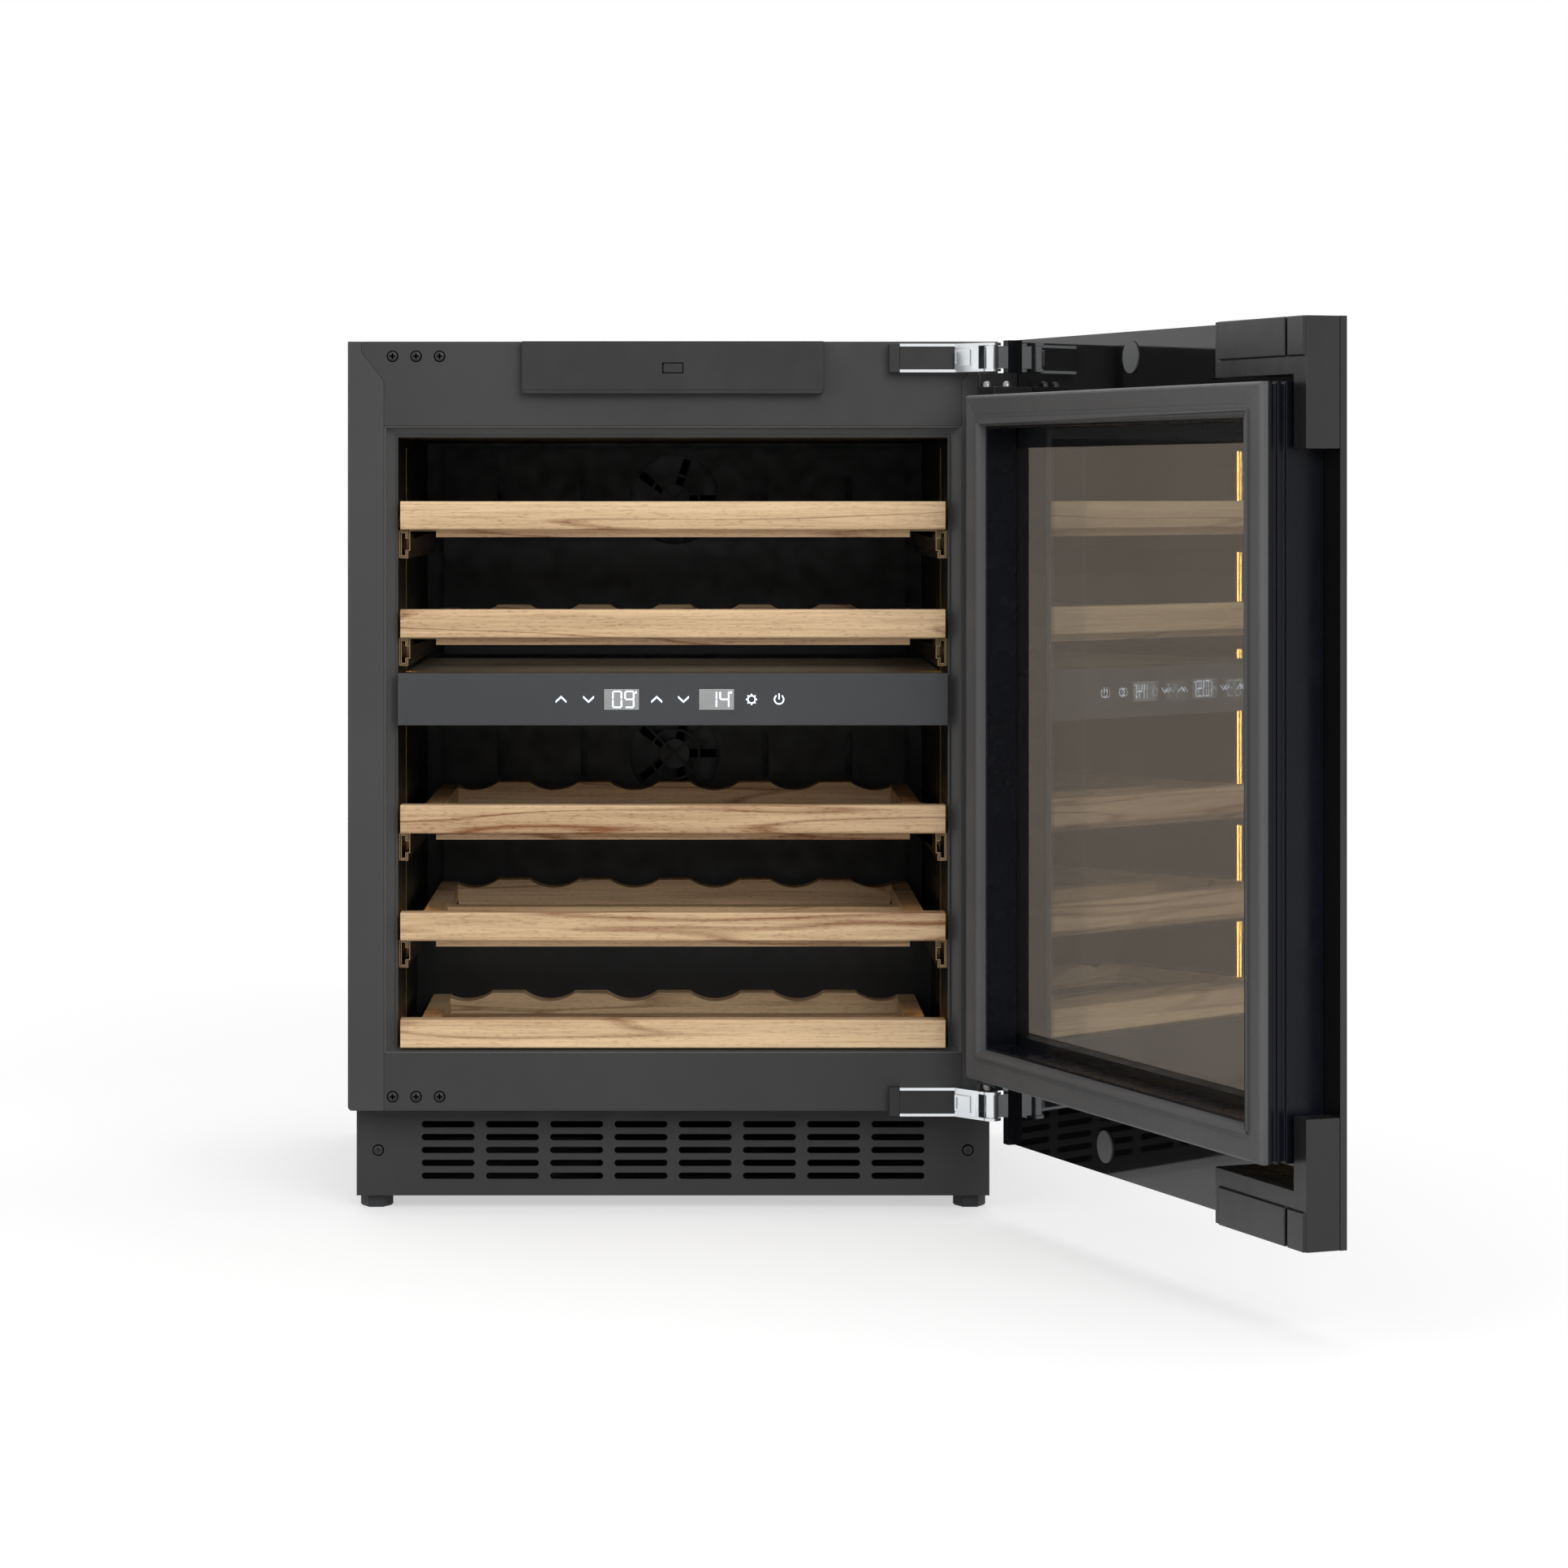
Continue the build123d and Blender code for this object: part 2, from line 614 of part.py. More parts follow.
CAP_UPPER = (CAP_UPPER_ALONG, DOOR_TOP - CAP_UPPER_DROP)
CAP_LOWER = (CAP_LOWER_ALONG, DOOR_BOTTOM + CAP_LOWER_RISE)
with BuildPart() as caps:
    with BuildSketch(DOOR):
        with Locations(CAP_UPPER, CAP_LOWER):
            Circle(CAP_RADIUS)
    extrude(amount=CAP_THICK)
keep(caps.part, "panel_caps")

INNER_ARM = DOOR_WIDTH - BRACKET_ARM
BLOCK_START = DOOR_WIDTH - BRACKET_WIDTH + BRACKET_STEP
BLOCK_END = DOOR_WIDTH - BRACKET_END
with BuildPart() as brackets:
    for start, way in ((DOOR_TOP, -1), (DOOR_BOTTOM, 1)):
        with BuildSketch(DOOR):
            outline(
                (
                    (DOOR_WIDTH - BRACKET_WIDTH, start),
                    (DOOR_WIDTH, start),
                    (DOOR_WIDTH, start + way * BRACKET_HEIGHT),
                    (INNER_ARM, start + way * BRACKET_HEIGHT),
                    (INNER_ARM, start + way * BRACKET_BAND),
                    (DOOR_WIDTH - BRACKET_WIDTH, start + way * BRACKET_BAND),
                )
            )
        extrude(amount=BRACKET_BASE)
        with BuildSketch(DOOR.offset(BRACKET_BASE)):
            outline(
                (
                    (BLOCK_START, start),
                    (BLOCK_END, start),
                    (BLOCK_END, start + way * BRACKET_BLOCK),
                    (BLOCK_START, start + way * BRACKET_BLOCK),
                )
            )
        extrude(amount=BRACKET_THICK - BRACKET_BASE)
        with BuildSketch(DOOR.offset(BRACKET_THICK)):
            with Locations((BLOCK_START + BRACKET_GROOVE / 2, start + way * BRACKET_BLOCK / 2)):
                Rectangle(BRACKET_GROOVE, BRACKET_BLOCK)
        extrude(amount=-BRACKET_STEP, mode=Mode.SUBTRACT)
keep(brackets.part, "corner_brackets")

# Hinges: a pair of side plates on the frame, a pin between them and a leaf on the door's edge
LEAF_HEIGHT = HINGE_HEIGHT - 2 * HINGE_PLATE - 2 * SLIDE_GAP
ARM_START = HALF - ARM_START_INSET
ARM_BEND = HALF - ARM_BEND_INSET
ARM_ROOT = HALF - ARM_ROOT_INSET
ARM_TIP = PIVOT + Vector(-ARM_HEAD * cos(ARM_TANGENT), -ARM_HEAD * sin(ARM_TANGENT))
BOX_START = Vector(ARM_BEND, Y_FRONT - ARM_DEPTH)
BOX_END = BOX_START + (ARM_TIP - BOX_START) * ARM_BOX_SHARE
HINGE_LEVELS = (FRAME_BOTTOM + HINGE_RISE, HEIGHT - HINGE_DROP)

with BuildPart() as arms:
    for level in HINGE_LEVELS:
        low = level - HINGE_HEIGHT / 2
        for base in (low, low + HINGE_HEIGHT - HINGE_PLATE):
            with BuildSketch(Plane.XY.offset(base)):
                outline(
                    (
                        (ARM_START, Y_FRONT),
                        (ARM_START, Y_FRONT - ARM_DEPTH),
                        (ARM_BEND, Y_FRONT - ARM_DEPTH),
                        (ARM_TIP.X, ARM_TIP.Y),
                        (PIVOT.X + ARM_HEAD, PIVOT.Y),
                        (ARM_ROOT, Y_FRONT),
                    )
                )
                with Locations((PIVOT.X, PIVOT.Y)):
                    Circle(ARM_HEAD)
                    Circle(PIN_RADIUS, mode=Mode.SUBTRACT)
            extrude(amount=HINGE_PLATE)
        with BuildSketch(Plane.XY.offset(low)):
            outline(
                (
                    (ARM_START, Y_FRONT),
                    (ARM_START, Y_FRONT - HINGE_PLATE),
                    (ARM_ROOT - ARM_HEAD, Y_FRONT - HINGE_PLATE),
                    (ARM_ROOT - ARM_HEAD, Y_FRONT),
                )
            )
            outline(
                (
                    (ARM_BEND, Y_FRONT - ARM_DEPTH),
                    (BOX_END.X, BOX_END.Y),
                    (BOX_END.X + HINGE_PLATE, BOX_END.Y),
                    (ARM_BEND + HINGE_PLATE, Y_FRONT - ARM_DEPTH),
                )
            )
        extrude(amount=HINGE_HEIGHT)
keep(arms.part, "hinge_arms")

with BuildPart() as pins:
    for level in HINGE_LEVELS:
        with BuildSketch(Plane.XY.offset(level - HINGE_HEIGHT / 2)):
            with Locations((PIVOT.X, PIVOT.Y)):
                Circle(PIN_RADIUS)
        extrude(amount=HINGE_HEIGHT)
keep(pins.part, "hinge_pins")

COVER_DEPTH = ARM_DEPTH - HINGE_PLATE - COVER_INSET
COVER_MIDDLE = ((ARM_START + ARM_BEND) / 2, Y_FRONT - HINGE_PLATE - COVER_DEPTH / 2)
with BuildPart() as covers:
    for level in HINGE_LEVELS:
        with BuildSketch(Plane.XY.offset(level - HINGE_HEIGHT / 2 + HINGE_PLATE)):
            with Locations(COVER_MIDDLE):
                Rectangle(ARM_BEND - ARM_START, COVER_DEPTH)
        extrude(amount=HINGE_HEIGHT - 2 * HINGE_PLATE)
keep(covers.part, "hinge_covers")

with BuildPart() as leaves:
    for level in HINGE_LEVELS:
        base = CORNER + Vector(0, 0, level - LEAF_HEIGHT / 2)
        with BuildSketch(Plane(origin=base, x_dir=ACROSS, z_dir=(0, 0, 1))):
            with Locations((PIVOT_ALONG, -PIVOT_OFF)):
                Circle(BARREL_RADIUS)
            with Locations((PIVOT_ALONG, -(PIVOT_OFF + EDGE_HEIGHT) / 2)):
                Rectangle(LEAF_WIDTH, PIVOT_OFF - EDGE_HEIGHT)
            with Locations((PIVOT_ALONG, -PIVOT_OFF)):
                Circle(PIN_RADIUS + RUN_FIT, mode=Mode.SUBTRACT)
        extrude(amount=LEAF_HEIGHT)
keep(leaves.part, "hinge_leaves")

# Shelves: a beech strip and rack on a pair of rails, and a short rack on the liner's floor
BAR_BOTTOM = LINER_BOTTOM + LOWER_ZONE
BAR_TOP = BAR_BOTTOM + BAR_HEIGHT
SHELF_TOPS = [BAR_TOP + level * (LINER_TOP - BAR_TOP) for level in UPPER_LEVELS]
SHELF_TOPS += [LINER_BOTTOM + level * LOWER_ZONE for level in LOWER_LEVELS]
STRIP_HALF = LINER_HALF - STRIP_GAP
STRIP_FRONT = Y_FRONT + STRIP_SETBACK
RACK_HALF = LINER_HALF - RACK_SIDE_GAP
RACK_FRONT = STRIP_FRONT + STRIP_THICK
RACK_BACK = LINER_BACK - DUCT_DEPTH - RACK_REAR_GAP
RAIL_FRONT = BEHIND_FRAME + STRIP_SETBACK
RAIL_LENGTH = RACK_BACK - RAIL_END_GAP - RAIL_FRONT
RAIL_INNER = LINER_HALF - RAIL_WIDTH
HEAD_OUTER = LINER_HALF - RAIL_WALL - SLIDE_GAP
HEAD_INNER = RAIL_INNER + RAIL_WALL + SLIDE_GAP
HEAD_LOW = RAIL_WALL + SLIDE_GAP
NECK_LOW = RAIL_WALL + RAIL_LIP + SLIDE_GAP
PLATE_OUTER = RAIL_INNER - SLIDE_GAP
PLATE_INNER = PLATE_OUTER - RAIL_WALL
FLANGE_INNER = RACK_HALF - BEAM_WIDTH
SEAT = RAIL_HEIGHT + RAIL_DROP


def front_strip(top):
    """Rounded beech board across the front of a shelf."""
    with BuildPart() as strip:
        behind(top - STRIP_HEIGHT, top, 2 * STRIP_HALF, STRIP_FRONT, STRIP_THICK)
        fillet(strip.edges().filter_by(Axis.X).group_by(Axis.Y)[0], radius=STRIP_EDGE)
    return strip.part


def slatted_rack(top, rear, drop):
    """Two beams along the shelf, a slat with cradles at each end and a lower tie in the middle."""
    floor = top - STRIP_HEIGHT
    length = rear - RACK_FRONT
    last_slat = rear - SLAT_WIDTH
    slat_span = 2 * (FLANGE_INNER - RUN_FIT)
    with BuildPart() as rack:
        with BuildSketch(facing(RACK_FRONT)):
            for side in (-1, 1):
                span(floor, floor + BEAM_HEIGHT, BEAM_WIDTH, side * (RACK_HALF - BEAM_WIDTH / 2))
        extrude(amount=-length)
        behind(floor - drop, floor + TIE_HEIGHT, slat_span, (RACK_FRONT + last_slat) / 2, SLAT_WIDTH)
        for front in (RACK_FRONT, last_slat):
            with BuildSketch(facing(front)):
                span(floor - drop, floor + SLAT_HEIGHT, slat_span)
                with Locations((0, floor + SLAT_HEIGHT - CRADLE_DEPTH + CRADLE_RADIUS)):
                    with GridLocations(CRADLE_PITCH, 0, CRADLES, 1):
                        Circle(CRADLE_RADIUS, mode=Mode.SUBTRACT)
            extrude(amount=-SLAT_WIDTH)
    return rack.part


def rail_pair(points):
    """Two straight rails of one section in the open part, on the left and the right."""
    with BuildSketch(facing(RAIL_FRONT)) as ends:
        for side in (-1, 1):
            outline([(side * x, z) for x, z in points])
    extrude(ends.sketch, amount=-RAIL_LENGTH)


def fixed_section(low):
    """Channel on the liner wall, with lips that hold the moving rail."""
    high = low + RAIL_HEIGHT
    return (
        (LINER_HALF, low),
        (LINER_HALF, high),
        (RAIL_INNER, high),
        (RAIL_INNER, high - RAIL_WALL - RAIL_LIP),
        (RAIL_INNER + RAIL_WALL, high - RAIL_WALL - RAIL_LIP),
        (RAIL_INNER + RAIL_WALL, high - RAIL_WALL),
        (LINER_HALF - RAIL_WALL, high - RAIL_WALL),
        (LINER_HALF - RAIL_WALL, low + RAIL_WALL),
        (RAIL_INNER + RAIL_WALL, low + RAIL_WALL),
        (RAIL_INNER + RAIL_WALL, low + RAIL_WALL + RAIL_LIP),
        (RAIL_INNER, low + RAIL_WALL + RAIL_LIP),
        (RAIL_INNER, low),
    )


def moving_section(low):
    """Head inside the channel, a neck between its lips and a flange under the rack."""
    high = low + RAIL_HEIGHT
    return (
        (HEAD_OUTER, low + HEAD_LOW),
        (HEAD_OUTER, high - HEAD_LOW),
        (HEAD_INNER, high - HEAD_LOW),
        (HEAD_INNER, high - NECK_LOW),
        (PLATE_OUTER, high - NECK_LOW),
        (PLATE_OUTER, low + SEAT),
        (FLANGE_INNER, low + SEAT),
        (FLANGE_INNER, low + SEAT - RAIL_WALL),
        (PLATE_INNER, low + SEAT - RAIL_WALL),
        (PLATE_INNER, low + NECK_LOW),
        (HEAD_INNER, low + NECK_LOW),
        (HEAD_INNER, low + HEAD_LOW),
    )


for number, top in enumerate(SHELF_TOPS, 1):
    keep(front_strip(top), f"shelf_{number}_strip")
    keep(slatted_rack(top, RACK_BACK, SLAT_DROP), f"shelf_{number}_rack")
    with BuildPart() as moving_rails:
        rail_pair(moving_section(top - STRIP_HEIGHT - SEAT))
    keep(moving_rails.part, f"shelf_{number}_moving_rails")

with BuildPart() as fixed_rails:
    for top in SHELF_TOPS:
        rail_pair(fixed_section(top - STRIP_HEIGHT - SEAT))
keep(fixed_rails.part, "fixed_rails")

BOTTOM_TOP = LINER_BOTTOM + STRIP_HEIGHT
keep(front_strip(BOTTOM_TOP), "bottom_shelf_strip")
keep(slatted_rack(BOTTOM_TOP, STEP_FRONT - LINER_WALL, 0.0), "bottom_shelf_rack")

# Control bar and the insulated divider behind it
BAR_FRONT = Y_FRONT + BAR_SETBACK
DIVIDER_FRONT = BAR_FRONT + BAR_THICK
DIVIDER_LOW = (BAR_TOP + BAR_BOTTOM - DIVIDER_THICK) / 2
DIVIDER_HIGH = DIVIDER_LOW + DIVIDER_THICK


def display_faces():
    """The two display windows in the open sketch."""
    with Locations(*[(x, BAR_BOTTOM + DISPLAY_RISE) for x in DISPLAY_X]):
        Rectangle(DISPLAY_WIDTH, DISPLAY_HEIGHT)


with BuildPart() as divider:
    behind(DIVIDER_LOW, DIVIDER_HIGH, 2 * LINER_HALF, DIVIDER_FRONT, LINER_BACK - DIVIDER_FRONT)
keep(divider.part, "zone_divider")

with BuildPart() as bar:
    behind(BAR_BOTTOM, BAR_TOP, 2 * (LINER_HALF - SLIDE_GAP), BAR_FRONT, BAR_THICK)
    with BuildSketch(facing(BAR_FRONT)):
        display_faces()
    extrude(amount=-DISPLAY_DEPTH, mode=Mode.SUBTRACT)
keep(bar.part, "control_bar")

with BuildPart() as displays:
    with BuildSketch(facing(BAR_FRONT)):
        display_faces()
    extrude(amount=-DISPLAY_DEPTH)
keep(displays.part, "display_windows")

# Air ducts on the back wall, each with a guarded fan
DUCT_HALF = LINER_HALF - DUCT_SIDE_GAP
DUCT_FRONT = LINER_BACK - DUCT_DEPTH
GUARD_OPEN = FAN_RADIUS + FAN_CLEAR
FAN_DROP = GUARD_OPEN + FAN_MARGIN
ROTOR_FRONT = DUCT_FRONT + DUCT_SHEET + FAN_CLEAR


def fan_rotor(centre_x, front, centre_z):
    """Hub with pitched blades, turning about a line along Y."""
    with BuildPart() as rotor:
        with BuildSketch(facing(front)):
            with Locations((centre_x, centre_z)):
                Circle(FAN_HUB)
                Circle(FAN_SHAFT + RUN_FIT, mode=Mode.SUBTRACT)
        extrude(amount=-FAN_THICK)
        for blade in range(FAN_BLADES):
            turn = radians(360 / FAN_BLADES * blade)
            radial = Vector(cos(turn), 0, sin(turn))
            root = Vector(centre_x, front + FAN_THICK / 2, centre_z) + radial * (FAN_HUB - BLADE_THICK)
            with BuildSketch(Plane(origin=root, x_dir=(0, 1, 0), z_dir=radial)):
                Rectangle(FAN_THICK, BLADE_THICK, rotation=BLADE_PITCH)
            extrude(amount=FAN_RADIUS - FAN_HUB + BLADE_THICK)
    return rotor.part


def fan_motor(centre_x, front, base, centre_z):
    """Motor disc on its base, in the open part, with a fixed shaft through the rotor."""
    reach = base - front
    for radius, length in ((FAN_HUB, reach - FAN_THICK - RUN_GAP), (FAN_SHAFT, reach)):
        with BuildSketch(facing(base)) as disc:
            with Locations((centre_x, centre_z)):
                Circle(radius)
        extrude(disc.sketch, amount=length)


def guard(centre_x, centre_z, reach):
    """Ring and crossed bars over a fan opening in the open sketch."""
    with Locations((centre_x, centre_z)):
        Circle(GUARD_RING + GUARD_BAR / 2)
        Circle(GUARD_RING - GUARD_BAR / 2, mode=Mode.SUBTRACT)
        for turn in GUARD_TURNS:
            Rectangle(2 * reach, GUARD_BAR, rotation=turn)


def air_duct(low, high, fan_z):
    """Shallow cover on the liner's back wall, with a guarded fan opening and air slots."""
    with BuildPart() as duct:
        behind(low, high, 2 * DUCT_HALF, DUCT_FRONT, DUCT_DEPTH)
        inside = 2 * (DUCT_HALF - DUCT_SHEET)
        rear = DUCT_FRONT + DUCT_SHEET
        behind(low + DUCT_SHEET, high - DUCT_SHEET, inside, rear, DUCT_DEPTH, Mode.SUBTRACT)
        with BuildSketch(facing(DUCT_FRONT)):
            with Locations((0, fan_z)):
                Circle(GUARD_OPEN)
            with Locations(*[(side * x, fan_z) for x in DUCT_SLOT_X for side in (-1, 1)]):
                Rectangle(DUCT_SLOT_WIDTH, DUCT_SLOT_LENGTH)
        extrude(amount=-DUCT_SHEET, mode=Mode.SUBTRACT)
        with BuildSketch(facing(DUCT_FRONT)):
            guard(0, fan_z, GUARD_OPEN + GUARD_BAR)
        extrude(amount=-DUCT_SHEET)
    return duct.part


for zone, low, high in (("upper", DIVIDER_HIGH, LINER_TOP), ("lower", STEP_TOP, DIVIDER_LOW)):
    fan_z = high - FAN_DROP
    keep(air_duct(low + DUCT_MARGIN, high - DUCT_MARGIN, fan_z), f"air_duct_{zone}")
    keep(fan_rotor(0, ROTOR_FRONT, fan_z), f"fan_rotor_{zone}")

# Compressor, condenser and condenser fan under the liner
BAY_MIDDLE = (BAY_FRONT + Y_BACK) / 2
MOUNT_HEIGHT = TRAY_TOP + GROMMET_HEIGHT

with BuildPart() as compressor:
    with BuildSketch(Plane.XY.offset(MOUNT_HEIGHT)):
        with Locations((SHELL_X, BAY_MIDDLE)):
            Rectangle(2 * SHELL_RADIUS + GROMMET_RADIUS, 2 * SHELL_RADIUS)
    extrude(amount=FOOT_PLATE)
    with BuildSketch(Plane.XY.offset(MOUNT_HEIGHT)):
        with Locations((SHELL_X, BAY_MIDDLE)):
            Circle(SHELL_RADIUS)
    extrude(amount=SHELL_HEIGHT)
    chamfer(compressor.edges().group_by(Axis.Z)[-1], length=SHELL_DOME)
    with BuildSketch(Plane.XY.offset(TRAY_TOP)):
        with Locations((SHELL_X, BAY_MIDDLE)):
            spread = 2 * SHELL_RADIUS - GROMMET_RADIUS
            with GridLocations(spread, spread - GROMMET_RADIUS, 2, 2):
                RegularPolygon(GROMMET_RADIUS, FOOT_SIDES)
    extrude(amount=GROMMET_HEIGHT)
keep(compressor.part, "compressor")

FAN_SHROUD_FRONT = BAY_MIDDLE - CONDENSER_FAN_DEPTH / 2
FAN_Z = TRAY_TOP + CONDENSER_FAN_SIZE / 2
SHROUD_BACK = FAN_SHROUD_FRONT + CONDENSER_FAN_DEPTH - DUCT_SHEET
SHROUD_ROTOR = SHROUD_BACK - FAN_CLEAR - FAN_THICK

with BuildPart() as shroud:
    with BuildSketch(facing(FAN_SHROUD_FRONT)):
        with Locations((CONDENSER_FAN_X, FAN_Z)):
            Rectangle(CONDENSER_FAN_SIZE, CONDENSER_FAN_SIZE)
            Circle(GUARD_OPEN, mode=Mode.SUBTRACT)
    extrude(amount=-CONDENSER_FAN_DEPTH)
    with BuildSketch(facing(SHROUD_BACK)):
        with Locations((CONDENSER_FAN_X, FAN_Z)):
            Circle(FAN_HUB)
        guard(CONDENSER_FAN_X, FAN_Z, GUARD_OPEN + GUARD_BAR)
    extrude(amount=-DUCT_SHEET)
keep(shroud.part, "condenser_fan_shroud")
keep(fan_rotor(CONDENSER_FAN_X, SHROUD_ROTOR, FAN_Z), "condenser_fan_rotor")

with BuildPart() as motors:
    for high in (LINER_TOP, DIVIDER_LOW):
        fan_motor(0, ROTOR_FRONT, LINER_BACK, high - FAN_DROP)
    fan_motor(CONDENSER_FAN_X, SHROUD_ROTOR, SHROUD_BACK, FAN_Z)
keep(motors.part, "fan_motors")

COIL_MIDDLE = (TRAY_FRONT + BAY_FRONT) / 2
COIL_START = COIL_MIDDLE - COIL_PITCH * (COIL_RUNS - 1) / 2
route_points = []
for run in range(COIL_RUNS):
    ends = (-COIL_HALF, COIL_HALF) if run % 2 == 0 else (COIL_HALF, -COIL_HALF)
    route_points += [(x, COIL_START + run * COIL_PITCH, TRAY_TOP + COIL_RISE) for x in ends]

with BuildPart() as coil:
    with BuildLine() as route:
        FilletPolyline(*route_points, radius=COIL_BEND)
    with BuildSketch(Plane(origin=route_points[0], z_dir=(1, 0, 0))):
        RegularPolygon(COIL_TUBE, COIL_SIDES)
    sweep(path=route.wires()[0])
    carrier_gap = 2 * COIL_HALF / (COIL_CARRIERS + 1)
    for count in range(COIL_CARRIERS):
        plate_x = carrier_gap * (count + 1) - COIL_HALF
        with BuildSketch(Plane.YZ.offset(plate_x)):
            reach = COIL_PITCH * COIL_RUNS
            span(TRAY_TOP, TRAY_TOP + CARRIER_HEIGHT, reach, COIL_MIDDLE)
        extrude(amount=CARRIER_SHEET)
keep(coil.part, "condenser_coil")
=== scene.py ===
"""Dress a built-in wine cooler: its finishes, fine pieces, a plain studio and the camera.

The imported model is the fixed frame. Each piece made here rides on one of its bodies and stands where
the frame says. All sizes are in metres.
"""

import json
import logging
import math
from contextlib import contextmanager
from dataclasses import dataclass, field
from enum import Enum
from typing import Callable, Iterator

import bmesh
import bpy
from mathutils import Matrix, Vector

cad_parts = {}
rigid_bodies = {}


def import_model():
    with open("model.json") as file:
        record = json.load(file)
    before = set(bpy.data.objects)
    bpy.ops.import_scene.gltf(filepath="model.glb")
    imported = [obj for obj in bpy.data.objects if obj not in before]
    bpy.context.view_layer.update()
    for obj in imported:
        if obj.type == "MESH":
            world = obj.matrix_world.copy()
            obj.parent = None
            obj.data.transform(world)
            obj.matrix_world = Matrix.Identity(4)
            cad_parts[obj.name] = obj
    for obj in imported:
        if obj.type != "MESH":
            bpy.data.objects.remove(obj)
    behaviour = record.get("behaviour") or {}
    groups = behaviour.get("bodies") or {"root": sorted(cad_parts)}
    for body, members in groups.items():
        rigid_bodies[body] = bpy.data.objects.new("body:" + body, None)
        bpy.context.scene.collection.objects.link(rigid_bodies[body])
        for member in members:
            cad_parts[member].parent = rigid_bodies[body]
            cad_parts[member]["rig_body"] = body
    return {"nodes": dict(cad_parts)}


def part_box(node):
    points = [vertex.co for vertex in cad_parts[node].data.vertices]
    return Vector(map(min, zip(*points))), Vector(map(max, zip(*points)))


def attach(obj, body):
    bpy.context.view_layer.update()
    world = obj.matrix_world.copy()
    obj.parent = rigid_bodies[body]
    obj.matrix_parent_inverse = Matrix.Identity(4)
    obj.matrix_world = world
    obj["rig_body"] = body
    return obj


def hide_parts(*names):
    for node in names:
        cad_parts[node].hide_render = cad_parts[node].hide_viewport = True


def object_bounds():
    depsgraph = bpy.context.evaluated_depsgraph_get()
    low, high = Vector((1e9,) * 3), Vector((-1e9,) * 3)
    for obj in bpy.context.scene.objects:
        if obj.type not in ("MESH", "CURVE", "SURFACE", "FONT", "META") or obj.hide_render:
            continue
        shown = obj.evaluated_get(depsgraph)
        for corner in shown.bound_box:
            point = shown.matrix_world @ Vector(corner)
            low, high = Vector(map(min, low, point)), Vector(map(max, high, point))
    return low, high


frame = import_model()
CAD_LOW, CAD_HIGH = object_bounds()
log = logging.getLogger("wine_cooler")

Colour = tuple[float, float, float, float]
Place = tuple[float, float, float]
Pair = tuple[float, float]

# Tests on a mesh: how near counts as touching, and how well two directions have to agree.
TOUCH = 1e-5
MERGE = 1e-6
FLAT_ANGLE = math.radians(0.5)
FACING = 0.9
PARALLEL = 0.999
SAME_AXIS = 0.5

# Shading and the shape of a round head.
SMOOTH_ANGLE = math.radians(40.0)
HEAD_SIDES = 28
HEAD_STEPS = 4
HEAD_ROLL = 0.72


class Texture(Enum):
    """The kinds of surface that the finishes are made of."""

    COAT = "powder_coat"
    MOULDED = "moulded_skin"
    SPANGLE = "zinc_spangle"
    TIMBER = "beech_grain"
    DIODES = "diode_row"


class Side(Enum):
    """The four runs of a mitred frame, each with its direction out from the frame's middle."""

    LEFT = (-1.0, 0.0)
    RIGHT = (1.0, 0.0)
    TOP = (0.0, 1.0)
    BOTTOM = (0.0, -1.0)


def tone(code: str) -> Colour:
    """Turn a screen colour into the linear colour that a shader takes.

    Args:
        code: Six hexadecimal digits, as in "3a3b3c".

    Returns:
        Linear red, green, blue and an alpha of one.
    """
    parts = [int(code[start : start + 2], 16) / 255 for start in (0, 2, 4)]
    linear = [part / 12.92 if part <= 0.04045 else ((part + 0.055) / 1.055) ** 2.4 for part in parts]
    return (linear[0], linear[1], linear[2], 1.0)


class Graph:
    """Short calls that add and join the nodes of one tree."""

    def __init__(self, tree: bpy.types.NodeTree) -> None:
        """Keep the tree that the nodes go into."""
        self.tree = tree

    def add(self, kind: str, inputs: dict | None = None, **settings: object) -> bpy.types.Node:
        """Add one node.

        Args:
            kind: Blender's name for the node.
            inputs: A value or another node's output for each named or numbered input.
            settings: Properties of the node itself.

        Returns:
            The new node.
        """
        node = self.tree.nodes.new(kind)
        for name, value in settings.items():
            setattr(node, name, value)
        for name, value in (inputs or {}).items():
            if isinstance(value, bpy.types.NodeSocket):
                self.tree.links.new(value, node.inputs[name])
            else:
                node.inputs[name].default_value = value
        return node

    def noise(self, vector: bpy.types.NodeSocket, scale: object, detail: float) -> bpy.types.NodeSocket:
        """Return a noise value over the vector."""
        node = self.add("ShaderNodeTexNoise", {"Vector": vector, "Scale": scale, "Detail": detail})
        return node.outputs[0]

    def maths(self, operation: str, first: object, second: object) -> bpy.types.NodeSocket:
        """Return the result of one sum on two values."""
        node = self.add("ShaderNodeMath", {0: first, 1: second}, operation=operation)
        return node.outputs[0]

    def spread(self, value: object, span: tuple[float, float], low: object, high: object) -> object:
        """Return the value carried from its span to the range from low to high."""
        inputs = {"Value": value, 1: span[0], 2: span[1], 3: low, 4: high}
        return self.add("ShaderNodeMapRange", inputs).outputs[0]

    def mix(self, factor: object, first: object, second: object) -> bpy.types.NodeSocket:
        """Return a colour between two colours."""
        node = self.add("ShaderNodeMix", {0: factor, 6: first, 7: second}, data_type="RGBA")
        return node.outputs[2]

    def scaled(self, vector: bpy.types.NodeSocket, scale: tuple) -> bpy.types.NodeSocket:
        """Return the vector stretched along each axis."""
        factor = self.add("ShaderNodeCombineXYZ", dict(enumerate(scale))).outputs[0]
        return self.add("ShaderNodeVectorMath", {0: vector, 1: factor}, operation="MULTIPLY").outputs[0]


